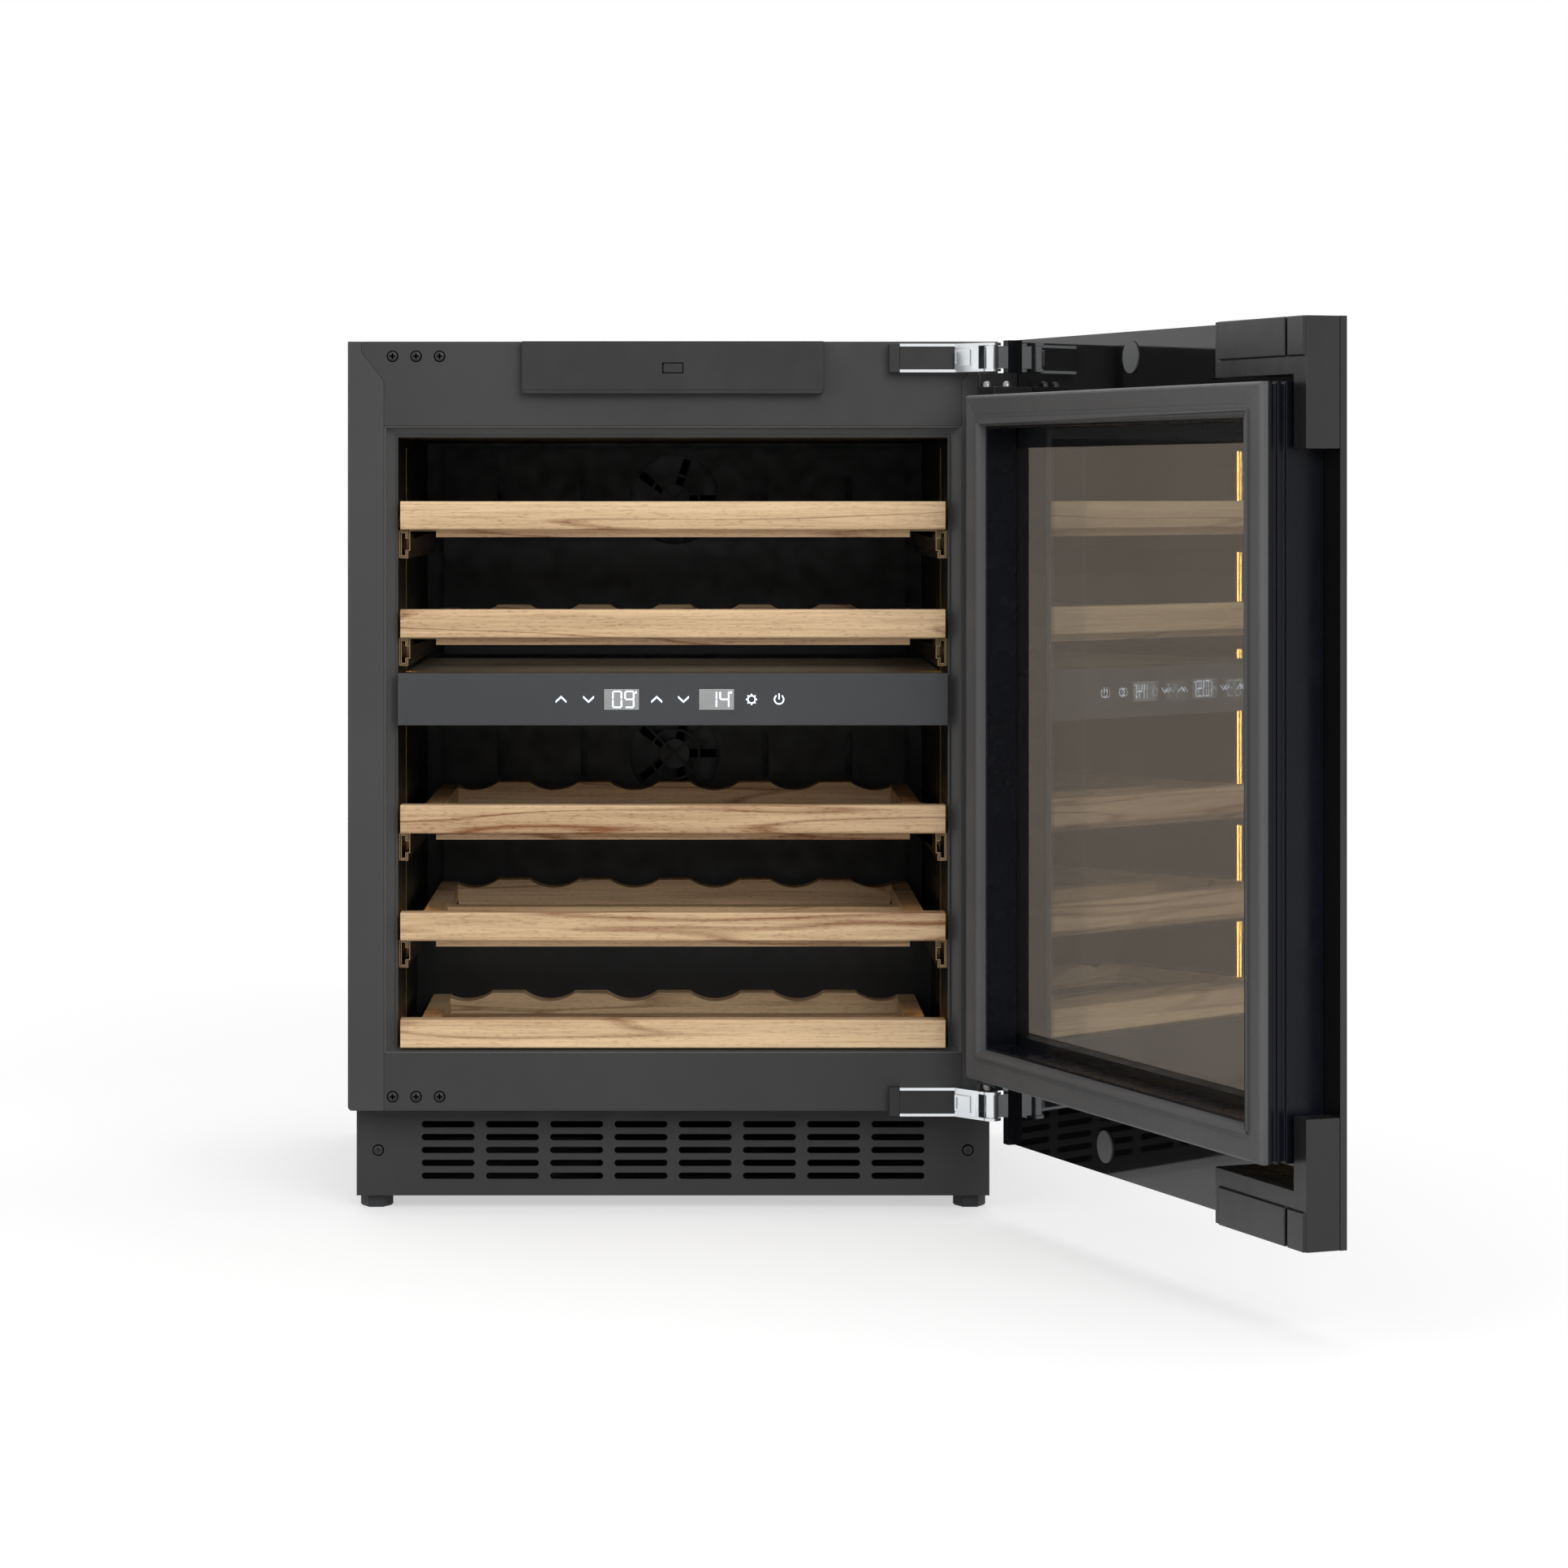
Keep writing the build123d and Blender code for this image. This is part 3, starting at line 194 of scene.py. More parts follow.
class SurfaceGroups:
    """Node groups that the finishes share: each gives a colour, a roughness and a height."""

    INPUTS = (
        ("Vector", "NodeSocketVector"),
        ("Light", "NodeSocketColor"),
        ("Dark", "NodeSocketColor"),
        ("Fine", "NodeSocketFloat"),
        ("Smooth", "NodeSocketFloat"),
        ("Rough", "NodeSocketFloat"),
    )
    OUTPUTS = (("Color", "NodeSocketColor"), ("Roughness", "NodeSocketFloat"), ("Height", "NodeSocketFloat"))
    # SPAN is the middle of a noise. DRIFT, MARKS, FILM and HAZE are a noise's scale and detail, SHARES the
    # parts that two patterns take of the dark tone, and POLISH a gain and a base.
    SPAN = (0.3, 0.7)
    PEEL_DETAIL = 2.0
    COAT_DRIFT = (5.0, 4.0)
    COAT_MARKS = (34.0, 5.0)
    COAT_SHARES = (0.65, 0.35)
    PEBBLE_BLEND = 0.6
    MOULD_DRIFT = (8.0, 4.0)
    MOULD_MARKS = (55.0, 4.0)
    MOULD_SHARES = (0.7, 0.3)
    ZINC_FILM = (18.0, 4.0)
    ZINC_SHARES = (0.7, 0.3)
    ZINC_POLISH = (0.5, 0.25)
    # Beech: grains in a metre along each axis, the span that shows, and each layer's share of the dark tone.
    BOARD_GRAIN, BOARD_SPAN, BOARD_SHARE = (0.4, 0.5, 11.0), (0.35, 0.65), 0.3
    STREAK_GRAIN, STREAK_SPAN, STREAK_SHARE = (2.0, 22.0, 70.0), (0.35, 0.72), 0.34
    FIBRE_GRAIN, FIBRE_SPAN, FIBRE_SHARE = (14.0, 420.0, 640.0), (0.4, 0.75), 0.24
    FLECK_GRAIN, FLECK_SPAN, FLECK_SHARE = (150.0, 500.0), (0.55, 0.72), 0.2
    LINE_GRAIN, LINE_LEVEL, LINE_WIDTH, LINE_SHARE = (2.4, 9.0, 34.0), 0.52, 0.02, 0.42
    FIBRE_RELIEF = 0.6
    # The lamp's lit line up its lens, where its light fades, and how far it dims between two diodes.
    LAMP_LINE = -0.126
    LAMP_FADE = (0.0004, 0.0013)
    LAMP_DIP = 0.35
    LAMP_HAZE = (60.0, 2.0)

    def __init__(self) -> None:
        """Start with no group made."""
        self.made: dict[Texture, bpy.types.NodeTree] = {}

    def tree(self, texture: Texture) -> bpy.types.NodeTree:
        """Give the group of one texture, built the first time that it is asked for.

        Args:
            texture: The kind of surface.

        Returns:
            The node group.
        """
        if texture not in self.made:
            self.made[texture] = self.build(texture)
        return self.made[texture]

    def build(self, texture: Texture) -> bpy.types.NodeTree:
        """Make the group's sockets and fill it.

        Args:
            texture: The kind of surface.

        Returns:
            The finished node group.
        """
        tree = bpy.data.node_groups.new(texture.value, "ShaderNodeTree")
        for name, kind in self.INPUTS:
            tree.interface.new_socket(name, in_out="INPUT", socket_type=kind)
        for name, kind in self.OUTPUTS:
            tree.interface.new_socket(name, in_out="OUTPUT", socket_type=kind)
        graph = Graph(tree)
        given = graph.add("NodeGroupInput").outputs
        fillers: dict[Texture, Callable] = {
            Texture.COAT: self.coat,
            Texture.MOULDED: self.moulded,
            Texture.SPANGLE: self.spangle,
            Texture.TIMBER: self.timber,
            Texture.DIODES: self.diodes,
        }
        factor, polish, height = fillers[texture](graph, given)
        graph.add(
            "NodeGroupOutput",
            {
                "Color": graph.mix(factor, given["Light"], given["Dark"]),
                "Roughness": graph.spread(polish, self.SPAN, given["Smooth"], given["Rough"]),
                "Height": height,
            },
        )
        return tree

    def coat(self, graph: Graph, given: object) -> tuple:
        """Fill in a sprayed or dipped skin: a fine peel, a slow drift of tone and faint handling marks.

        Args:
            graph: The group's tree.
            given: The group's inputs.

        Returns:
            The share of the dark tone, the wear that sets the roughness, and the height.
        """
        peel = graph.noise(given["Vector"], given["Fine"], self.PEEL_DETAIL)
        drift = graph.noise(given["Vector"], *self.COAT_DRIFT)
        marks = graph.noise(given["Vector"], *self.COAT_MARKS)
        slow, quick = self.COAT_SHARES
        speck = graph.maths("MULTIPLY", peel, quick)
        return graph.maths("ADD", graph.spread(drift, self.SPAN, 0.0, slow), speck), marks, peel

    def moulded(self, graph: Graph, given: object) -> tuple:
        """Fill in moulded plastic or rubber: small pebbles with a slow drift of tone.

        Args:
            graph: The group's tree.
            given: The group's inputs.

        Returns:
            The share of the dark tone, the wear that sets the roughness, and the height.
        """
        inputs = {"Vector": given["Vector"], "Scale": given["Fine"], "Smoothness": self.PEBBLE_BLEND}
        pebble = graph.add("ShaderNodeTexVoronoi", inputs, feature="SMOOTH_F1").outputs["Distance"]
        drift = graph.noise(given["Vector"], *self.MOULD_DRIFT)
        marks = graph.noise(given["Vector"], *self.MOULD_MARKS)
        slow, quick = self.MOULD_SHARES
        speck = graph.maths("MULTIPLY", pebble, quick)
        return graph.maths("ADD", graph.spread(drift, self.SPAN, 0.0, slow), speck), marks, pebble

    def spangle(self, graph: Graph, given: object) -> tuple:
        """Fill in zinc-coated sheet: flat crystals of slightly different greys.

        Args:
            graph: The group's tree.
            given: The group's inputs.

        Returns:
            The share of the dark tone, the wear that sets the roughness, and the height.
        """
        inputs = {"Vector": given["Vector"], "Scale": given["Fine"]}
        cells = graph.add("ShaderNodeTexVoronoi", inputs, feature="F1")
        crystal = graph.add("ShaderNodeSeparateColor", {0: cells.outputs["Color"]}).outputs[0]
        film = graph.noise(given["Vector"], *self.ZINC_FILM)
        flat, cloud = self.ZINC_SHARES
        patch = graph.maths("MULTIPLY", crystal, flat)
        factor = graph.maths("ADD", patch, graph.maths("MULTIPLY", film, cloud))
        gain, base = self.ZINC_POLISH
        return factor, graph.maths("ADD", graph.maths("MULTIPLY", crystal, gain), base), crystal

    def timber(self, graph: Graph, given: object) -> tuple:
        """Fill in beech sawn along X: a tone for each board, streaks, flecks and thin growth lines.

        Args:
            graph: The group's tree.
            given: The group's inputs.

        Returns:
            The share of the dark tone, the wear that sets the roughness, and the height.
        """
        place = given["Vector"]
        board = graph.noise(graph.scaled(place, self.BOARD_GRAIN), 1.0, 0.0)
        streak = graph.noise(graph.scaled(place, self.STREAK_GRAIN), 1.0, 4.0)
        fibre = graph.noise(graph.scaled(place, self.FIBRE_GRAIN), 1.0, 3.0)
        growth = graph.noise(graph.scaled(place, self.LINE_GRAIN), 1.0, 1.0)
        ridge = graph.maths("ABSOLUTE", graph.maths("SUBTRACT", growth, self.LINE_LEVEL), 0.0)
        line = graph.spread(ridge, (0.0, self.LINE_WIDTH), 1.0, 0.0)
        fleck_at = graph.scaled(place, (*self.FLECK_GRAIN, given["Fine"]))
        fleck = graph.spread(graph.noise(fleck_at, 1.0, 1.0), self.FLECK_SPAN, 0.0, 1.0)
        tint = graph.spread(board, self.BOARD_SPAN, 0.0, self.BOARD_SHARE)
        tint = graph.maths("ADD", tint, graph.maths("MULTIPLY", line, self.LINE_SHARE))
        tint = graph.maths("ADD", tint, graph.spread(streak, self.STREAK_SPAN, 0.0, self.STREAK_SHARE))
        tint = graph.maths("ADD", tint, graph.spread(fibre, self.FIBRE_SPAN, 0.0, self.FIBRE_SHARE))
        tint = graph.maths("ADD", tint, graph.maths("MULTIPLY", fleck, self.FLECK_SHARE))
        return tint, streak, graph.maths("SUBTRACT", graph.maths("MULTIPLY", fibre, self.FIBRE_RELIEF), fleck)

    def diodes(self, graph: Graph, given: object) -> tuple:
        """Fill in a lit lens: brighter spots up its lit line, where the diodes sit behind it.

        Args:
            graph: The group's tree.
            given: The group's inputs.

        Returns:
            The share of the dark tone, the wear that sets the roughness, and the height.
        """
        parts = graph.add("ShaderNodeSeparateXYZ", {0: given["Vector"]}).outputs
        turn = graph.maths("MULTIPLY", graph.maths("MULTIPLY", parts[2], given["Fine"]), 2 * math.pi)
        between = graph.spread(graph.maths("SINE", turn, 0.0), (-1.0, 1.0), 0.0, self.LAMP_DIP)
        aside = graph.maths("ABSOLUTE", graph.maths("SUBTRACT", parts[1], self.LAMP_LINE), 0.0)
        edge = graph.spread(aside, self.LAMP_FADE, 0.0, 1.0)
        haze = graph.noise(given["Vector"], *self.LAMP_HAZE)
        return graph.maths("MAXIMUM", between, edge), haze, haze


@dataclass(frozen=True)
class Finish:
    """One finish: two tones, a texture and how the surface takes light.

    Fine is the number of grains in a metre, grain the height of one and relief how strongly it shows.
    Stretch squeezes the pattern along each axis, which turns a peel into a brushed grain.
    """

    slot: str
    texture: Texture
    light: str
    dark: str
    fine: float
    smooth: float
    rough: float
    grain: float = 0.0
    stretch: Place = (1.0, 1.0, 1.0)
    metallic: float = 0.0
    specular: float = 0.5
    clear: float = 0.0
    glow: float = 0.0
    relief: float = 0.6

    def material(self, groups: SurfaceGroups) -> bpy.types.Material:
        """Build the material.

        Args:
            groups: The node groups that the finishes share.

        Returns:
            A material that reads Object coordinates.
        """
        made = bpy.data.materials.new(f"finish_{self.slot}")
        made.use_nodes = True
        made.node_tree.nodes.clear()
        graph = Graph(made.node_tree)
        place = graph.add("ShaderNodeTexCoord").outputs["Object"]
        if self.stretch != (1.0, 1.0, 1.0):
            place = graph.scaled(place, self.stretch)
        surface = graph.add("ShaderNodeGroup", node_tree=groups.tree(self.texture))
        made.node_tree.links.new(place, surface.inputs["Vector"])
        values = {"Light": tone(self.light), "Dark": tone(self.dark), "Fine": self.fine}
        values.update({"Smooth": self.smooth, "Rough": self.rough})
        for name, value in values.items():
            surface.inputs[name].default_value = value
        inputs = {
            "Base Color": surface.outputs["Color"],
            "Roughness": surface.outputs["Roughness"],
            "Metallic": self.metallic,
            "Specular IOR Level": self.specular,
            "Transmission Weight": self.clear,
        }
        if self.grain:
            bump = {"Height": surface.outputs["Height"], "Distance": self.grain, "Strength": self.relief}
            inputs["Normal"] = graph.add("ShaderNodeBump", bump).outputs[0]
        if self.glow:
            inputs["Emission Color"] = surface.outputs["Color"]
            inputs["Emission Strength"] = self.glow
        shader = graph.add("ShaderNodeBsdfPrincipled", inputs)
        graph.add("ShaderNodeOutputMaterial", {"Surface": shader.outputs[0]})
        return made


# Patterns drawn out: upright on the brackets, and front to back on the rails.
UPRIGHT: Place = (1.0, 1.0, 0.3)
DRAWN: Place = (1.0, 0.03, 1.0)

FINISHES = (
    Finish("frame_paint", Texture.COAT, "434343", "393939", 1400.0, 0.44, 0.58, 0.00008, specular=0.24),
    # The stiles take a lighter copy of the frame's coat: they show lighter than the rails.
    Finish("stile_paint", Texture.COAT, "4a4a4a", "404040", 1400.0, 0.42, 0.56, 0.00008, specular=0.26),
    Finish("case_paint", Texture.COAT, "3f3f3f", "363636", 1400.0, 0.46, 0.6, 0.00008, specular=0.22),
    Finish("opener_shell", Texture.MOULDED, "383838", "313131", 1900.0, 0.5, 0.62, 0.00005, specular=0.22),
    Finish("trim_grey", Texture.MOULDED, "5c5c5c", "515151", 1700.0, 0.36, 0.5, 0.00004, specular=0.3),
    Finish("lamp_lens", Texture.DIODES, "ffc568", "241204", 55.0, 0.35, 0.5, glow=24.0),
    Finish("liner_black", Texture.MOULDED, "0d0d0d", "070707", 700.0, 0.32, 0.5, 0.00006, specular=0.3),
    Finish("foam", Texture.MOULDED, "b9b09a", "9c937e", 260.0, 0.8, 0.95, 0.0003, specular=0.2),
    Finish("zinc_sheet", Texture.SPANGLE, "9c9fa2", "7f8285", 85.0, 0.34, 0.5, metallic=0.85),
    Finish("foot_black", Texture.MOULDED, "37383a", "2a2b2d", 900.0, 0.5, 0.7, 0.00008, specular=0.3),
    Finish("screw_steel", Texture.COAT, "373738", "2b2b2c", 3000.0, 0.22, 0.32, specular=0.3),
    Finish("black_glass", Texture.COAT, "131313", "0d0d0e", 40.0, 0.02, 0.05, specular=0.55),
    Finish("tinted_glass", Texture.COAT, "70675f", "6a6159", 30.0, 0.0, 0.015, clear=1.0),
    Finish("clear_glass", Texture.COAT, "f6f9f7", "f0f4f2", 30.0, 0.0, 0.015, clear=1.0),
    Finish("spacer_black", Texture.COAT, "12141b", "0b0d12", 500.0, 0.26, 0.4, specular=0.4),
    Finish("door_profile", Texture.COAT, "10121a", "0a0b11", 900.0, 0.2, 0.34, 0.00003, specular=0.16),
    Finish("gasket_rubber", Texture.MOULDED, "5d5d5d", "515152", 1200.0, 0.42, 0.58, 0.00006, specular=0.3),
    Finish("cap_grey", Texture.MOULDED, "6a6b6c", "5d5e5f", 1300.0, 0.4, 0.55, 0.00005, specular=0.3),
    Finish("bracket_black", Texture.COAT, "242425", "19191a", 500.0, 0.2, 0.34, 0.0, UPRIGHT, specular=0.42),
    Finish("hinge_chrome", Texture.COAT, "eceff1", "d8dcdf", 600.0, 0.07, 0.16, metallic=1.0),
    Finish("hinge_cover", Texture.MOULDED, "343434", "2c2c2c", 1500.0, 0.45, 0.6, 0.00005, specular=0.25),
    Finish("beech", Texture.TIMBER, "ffdfb2", "8a5832", 900.0, 0.4, 0.58, 0.00007, specular=0.3),
    # The rails are steel: their warm bronze tone is painted amber lamp light, a painted glint from the lit
    # lenses.
    Finish("rail_steel", Texture.COAT, "947d60", "6c5a45", 900.0, 0.22, 0.36, stretch=DRAWN, metallic=1.0),
    Finish("bar_grey", Texture.MOULDED, "454648", "3d3e40", 2200.0, 0.4, 0.55, 0.00004, specular=0.3),
    Finish("display", Texture.COAT, "a3a4a4", "7d7e7d", 60.0, 0.2, 0.3, glow=0.3),
    Finish("duct_black", Texture.MOULDED, "121213", "0b0b0c", 900.0, 0.4, 0.56, 0.00006, specular=0.3),
    Finish("fan_black", Texture.MOULDED, "19191a", "101011", 1100.0, 0.36, 0.5, 0.00004, specular=0.35),
    Finish("shell_black", Texture.COAT, "0b0b0c", "070708", 500.0, 0.26, 0.4, 0.00008, specular=0.2),
    Finish("coil_black", Texture.COAT, "101011", "0a0a0b", 700.0, 0.55, 0.7, 0.00006, specular=0.0),
    # The chassis tray is zinc sheet; this near-black coat on it is painted shade, which keeps the grille's
    # slots dark.
    Finish("tray_black", Texture.COAT, "222223", "19191a", 700.0, 0.6, 0.75, 0.00006, specular=0.03),
    Finish("stud_steel", Texture.COAT, "8d8e8f", "6f7071", 900.0, 0.24, 0.36, metallic=0.9),
    Finish("mark_light", Texture.COAT, "e2efff", "cfe3ff", 90.0, 0.3, 0.4, glow=1.35),
)


class Paint:
    """Every finish as a material, and the calls that put one on a node or a piece."""

    def __init__(self) -> None:
        """Build all materials from the list of finishes."""
        groups = SurfaceGroups()
        self.materials = {finish.slot: finish.material(groups) for finish in FINISHES}

    def dress_frame(self) -> None:
        """Give every CAD node the finish of its own slot."""
        for node in frame["nodes"].values():
            for index, old in enumerate(node.data.materials):
                node.data.materials[index] = self.materials[old.name.split(".")[0]]

    def dress(self, piece: bpy.types.Object, slot: str, look: str = "") -> None:
        """Put a finish on a piece: the slot's own, or another look where one is given.

        Args:
            piece: The mesh object.
            slot: The slot that the record lists.
            look: The finish, where it differs from the slot's own.
        """
        piece.data.materials.clear()
        piece.data.materials.append(self.materials[look or slot])


def pick(piece: bpy.types.Object) -> None:
    """Make one object the only one selected, and the active one.

    Args:
        piece: The object.
    """
    bpy.ops.object.select_all(action="DESELECT")
    piece.select_set(True)
    bpy.context.view_layer.objects.active = piece


@contextmanager
def editing(piece: bpy.types.Object, everything: bool = True) -> Iterator[bpy.types.Mesh]:
    """Open a piece in edit mode, and close it again.

    Args:
        piece: The mesh object.
        everything: Whether the whole mesh starts selected.

    Yields:
        The piece's mesh.
    """
    pick(piece)
    bpy.ops.object.mode_set(mode="EDIT")
    bpy.ops.mesh.select_all(action="SELECT" if everything else "DESELECT")
    yield piece.data
    bpy.ops.object.mode_set(mode="OBJECT")


def rounded(piece: bpy.types.Object, width: float, segments: int = 2, angle: float = 30.0) -> None:
    """Round a piece's sharp edges and smooth its shading.

    Args:
        piece: The mesh object.
        width: How far the rounding reaches from the edge.
        segments: How many faces the rounding has.
        angle: Edges sharper than this many degrees are rounded.
    """
    pick(piece)
    bevel = piece.modifiers.new("rounding", "BEVEL")
    bevel.width = width
    bevel.segments = segments
    bevel.limit_method = "ANGLE"
    bevel.angle_limit = math.radians(angle)
    bpy.ops.object.modifier_apply(modifier=bevel.name)
    bpy.ops.object.shade_smooth_by_angle(angle=SMOOTH_ANGLE)
    flat = piece.modifiers.new("flat", "WEIGHTED_NORMAL")
    flat.keep_sharp = True
    bpy.ops.object.modifier_apply(modifier=flat.name)


def copied(node: str, name: str) -> bpy.types.Object:
    """Copy a CAD node's mesh into a new object with its triangles merged into whole faces.

    Args:
        node: The CAD node.
        name: The new piece's name.

    Returns:
        The new object, at the origin.
    """
    piece = bpy.data.objects.new(name, frame["nodes"][node].data.copy())
    bpy.context.scene.collection.objects.link(piece)
    with editing(piece):
        bpy.ops.mesh.remove_doubles(threshold=MERGE)
        bpy.ops.mesh.dissolve_limited(angle_limit=FLAT_ANGLE)
    return piece


def seat(piece: bpy.types.Object, body: str, *nodes: str) -> None:
    """Let a piece ride on a body, stand for CAD nodes, and report it.

    Args:
        piece: The finished mesh object.
        body: The CAD body that carries it.
        nodes: The CAD nodes that it stands for.
    """
    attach(piece, body)
    if nodes:
        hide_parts(*nodes)
    log.info("%s on %s, %d faces", piece.name, body, len(piece.data.polygons))


@dataclass
class Softened:
    """CAD nodes shown with their real, slightly rounded edges."""

    paint: Paint
    edges: dict[str, float] = field(
        default_factory=lambda: {
            "frame_stiles": 0.0005,
            "frame_top_rail": 0.0005,
            "frame_bottom_rail": 0.0005,
            "opener_box": 0.0008,
            "control_bar": 0.001,
            "door_frame": 0.0008,
            "hinge_covers": 0.0006,
            "opener_plunger": 0.0012,
            "chassis_tray": 0.0003,
        }
    )
    # The chassis tray takes a near-black coat as painted shade, which keeps the grille's slots dark.
    looks: dict[str, str] = field(
        default_factory=lambda: {"frame_stiles": "stile_paint", "chassis_tray": "tray_black"}
    )

    def build(self) -> None:
        """Make the rounded copy of each listed node."""
        for node, width in self.edges.items():
            original = frame["nodes"][node]
            slot = original.data.materials[0].name.removeprefix("finish_")
            piece = copied(node, f"{node}_soft")
            rounded(piece, width)
            self.paint.dress(piece, slot, self.looks.get(node, ""))
            seat(piece, original["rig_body"], node)


@dataclass(frozen=True)
class Stand:
    """Axes turned about the vertical, in which a sub-assembly gives its sizes."""

    origin: Place = (0.0, 0.0, 0.0)
    turn: float = 0.0

    def point(self, place: Vector) -> Vector:
        """Return a place of these axes as a place in the world."""
        return Vector(self.origin) + Matrix.Rotation(self.turn, 3, "Z") @ place

    def way(self, direction: Place) -> Vector:
        """Return a direction of these axes as a direction in the world."""
        return Matrix.Rotation(self.turn, 3, "Z") @ Vector(direction)


def settle(name: str) -> bpy.types.Object:
    """Name the piece just added and move its place into its mesh.

    Args:
        name: The piece's name.

    Returns:
        The piece, with its origin at the world's origin.
    """
    piece = bpy.context.active_object
    piece.name = name
    bpy.ops.object.transform_apply(location=True, rotation=True, scale=True)
    return piece


def block(name: str, low: Place, high: Place, stand: Stand = Stand()) -> bpy.types.Object:
    """Add a box.

    Args:
        name: The piece's name.
        low: Its lowest corner in the stand's axes.
        high: Its highest corner in the stand's axes.
        stand: The axes that the corners are given in.

    Returns:
        The box.
    """
    start, end = Vector(low), Vector(high)
    bpy.ops.object.select_all(action="DESELECT")
    bpy.ops.mesh.primitive_cube_add(
        size=1.0, location=stand.point((start + end) / 2), rotation=(0.0, 0.0, stand.turn), scale=end - start
    )
    return settle(name)


def dome(name: str, foot: Vector, axis: Vector, radius: float, height: float) -> bpy.types.Object:
    """Add a round head whose rim is rolled over.

    Args:
        name: The piece's name.
        foot: The middle of the face that it stands on.
        axis: The direction that it stands out in.
        radius: Its radius.
        height: How far it stands out.

    Returns:
        The head.
    """
    bpy.ops.object.select_all(action="DESELECT")
    turn = axis.to_track_quat("Z", "Y").to_euler()
    bpy.ops.mesh.primitive_cylinder_add(
        vertices=HEAD_SIDES, radius=radius, depth=height, location=foot + axis * (height / 2), rotation=turn
    )
    piece = settle(name)
    with editing(piece, everything=False) as mesh:
        choose_faces(mesh, lambda face: face.normal.dot(axis) > FACING)
        bpy.ops.mesh.bevel(offset=height * HEAD_ROLL, segments=HEAD_STEPS, affect="EDGES")
    return piece


def choose_faces(mesh: bpy.types.Mesh, test: Callable[[bmesh.types.BMFace], bool]) -> None:
    """Add faces to the selection in edit mode.

    Args:
        mesh: The mesh that is open.
        test: Tells whether a face is wanted.
    """
    work = bmesh.from_edit_mesh(mesh)
    for face in [face for face in work.faces if test(face)]:
        face.select_set(True)
    bmesh.update_edit_mesh(mesh)


def choose_edges(mesh: bpy.types.Mesh, test: Callable[[bmesh.types.BMEdge], bool]) -> None:
    """Add edges to the selection in edit mode.

    Args:
        mesh: The mesh that is open.
        test: Tells whether an edge is wanted.
    """
    work = bmesh.from_edit_mesh(mesh)
    for edge in [edge for edge in work.edges if test(edge)]:
        edge.select_set(True)
    bmesh.update_edit_mesh(mesh)


def along(edge: bmesh.types.BMEdge, axis: Vector) -> bool:
    """Tell whether an edge runs along an axis."""
    run = edge.verts[1].co - edge.verts[0].co
    return run.length > 0.0 and abs(run.normalized().dot(axis)) > PARALLEL


def joined(name: str, pieces: list[bpy.types.Object]) -> bpy.types.Object:
    """Join pieces into one.

    Args:
        name: The joined piece's name.
        pieces: The pieces, of which the first takes in the rest.

    Returns:
        The joined piece.
    """
    pick(pieces[0])
    for piece in pieces:
        piece.select_set(True)
    bpy.ops.object.join()
    pieces[0].name = name
    return pieces[0]


def repeated(piece: bpy.types.Object, name: str, move: Vector) -> bpy.types.Object:
    """Copy a piece with a mesh of its own to another place.

    Args:
        piece: The piece to copy.
        name: The copy's name.
        move: How far the copy stands from it.

    Returns:
        The copy.
    """
    pick(piece)
    bpy.ops.object.duplicate(linked=False)
    bpy.ops.transform.translate(value=move)
    return settle(name)


def carved(piece: bpy.types.Object, cutter: bpy.types.Object) -> None:
    """Cut one piece's shape out of another, and take the cutter away.

    Args:
        piece: The piece that is cut.
        cutter: The piece whose shape is taken out.
    """
    pick(piece)
    cut = piece.modifiers.new("cut", "BOOLEAN")
    cut.object = cutter
    cut.solver = "EXACT"
    bpy.ops.object.modifier_apply(modifier=cut.name)
    bpy.data.objects.remove(cutter)


def islands(node: str) -> list[tuple[Vector, Vector]]:
    """Find the separate bodies of a CAD node.

    Args:
        node: The CAD node.

    Returns:
        The lowest and highest corner of each body, in order of height and then of X.
    """
    mesh = frame["nodes"][node].data
    keys = [tuple(round(value, 6) for value in corner.co) for corner in mesh.vertices]
    owner = {key: key for key in keys}

    def root(key: tuple) -> tuple:
        """Follow a corner to the one that stands for its whole body.

        Args:
            key: The corner's rounded place.

        Returns:
            The place that stands for the body.
        """
        while owner[key] != key:
            key = owner[key]
        return key

    for face in mesh.polygons:
        first = root(keys[face.vertices[0]])
        for index in face.vertices[1:]:
            owner[root(keys[index])] = first
    bodies: dict[tuple, list[tuple]] = {}
    for key in owner:
        bodies.setdefault(root(key), []).append(key)
    boxes = [(Vector(map(min, zip(*body))), Vector(map(max, zip(*body)))) for body in bodies.values()]
    return sorted(boxes, key=lambda box: (round(box[0].z, 3), box[0].x))


def mitred(node: str, name: str, stand: Stand) -> bpy.types.Object:
    """Show a CAD ring as four runs that meet in mitred corners.

    Args:
        node: The CAD node, a rectangular ring.
        name: The new piece's name.
        stand: Axes whose X runs along the ring's lower side.

    Returns:
        The four runs as one piece.
    """
    corners = [corner.co for corner in frame["nodes"][node].data.vertices]
    ways = {side: stand.way((side.value[0], 0.0, side.value[1])) for side in Side}
    edges = {side: max(corner.dot(way) for corner in corners) for side, way in ways.items()}
    runs = []
    for side, way in ways.items():
        run = copied(node, f"{name}_{side.name.lower()}")
        for other, turn in ways.items():
            if abs(way.dot(turn)) > SAME_AXIS:
                continue
            with editing(run):
                bpy.ops.mesh.bisect(
                    plane_co=way * edges[side] + turn * edges[other],
                    plane_no=turn - way,
                    use_fill=True,
                    clear_outer=True,
                )
        runs.append(run)
    return joined(name, runs)


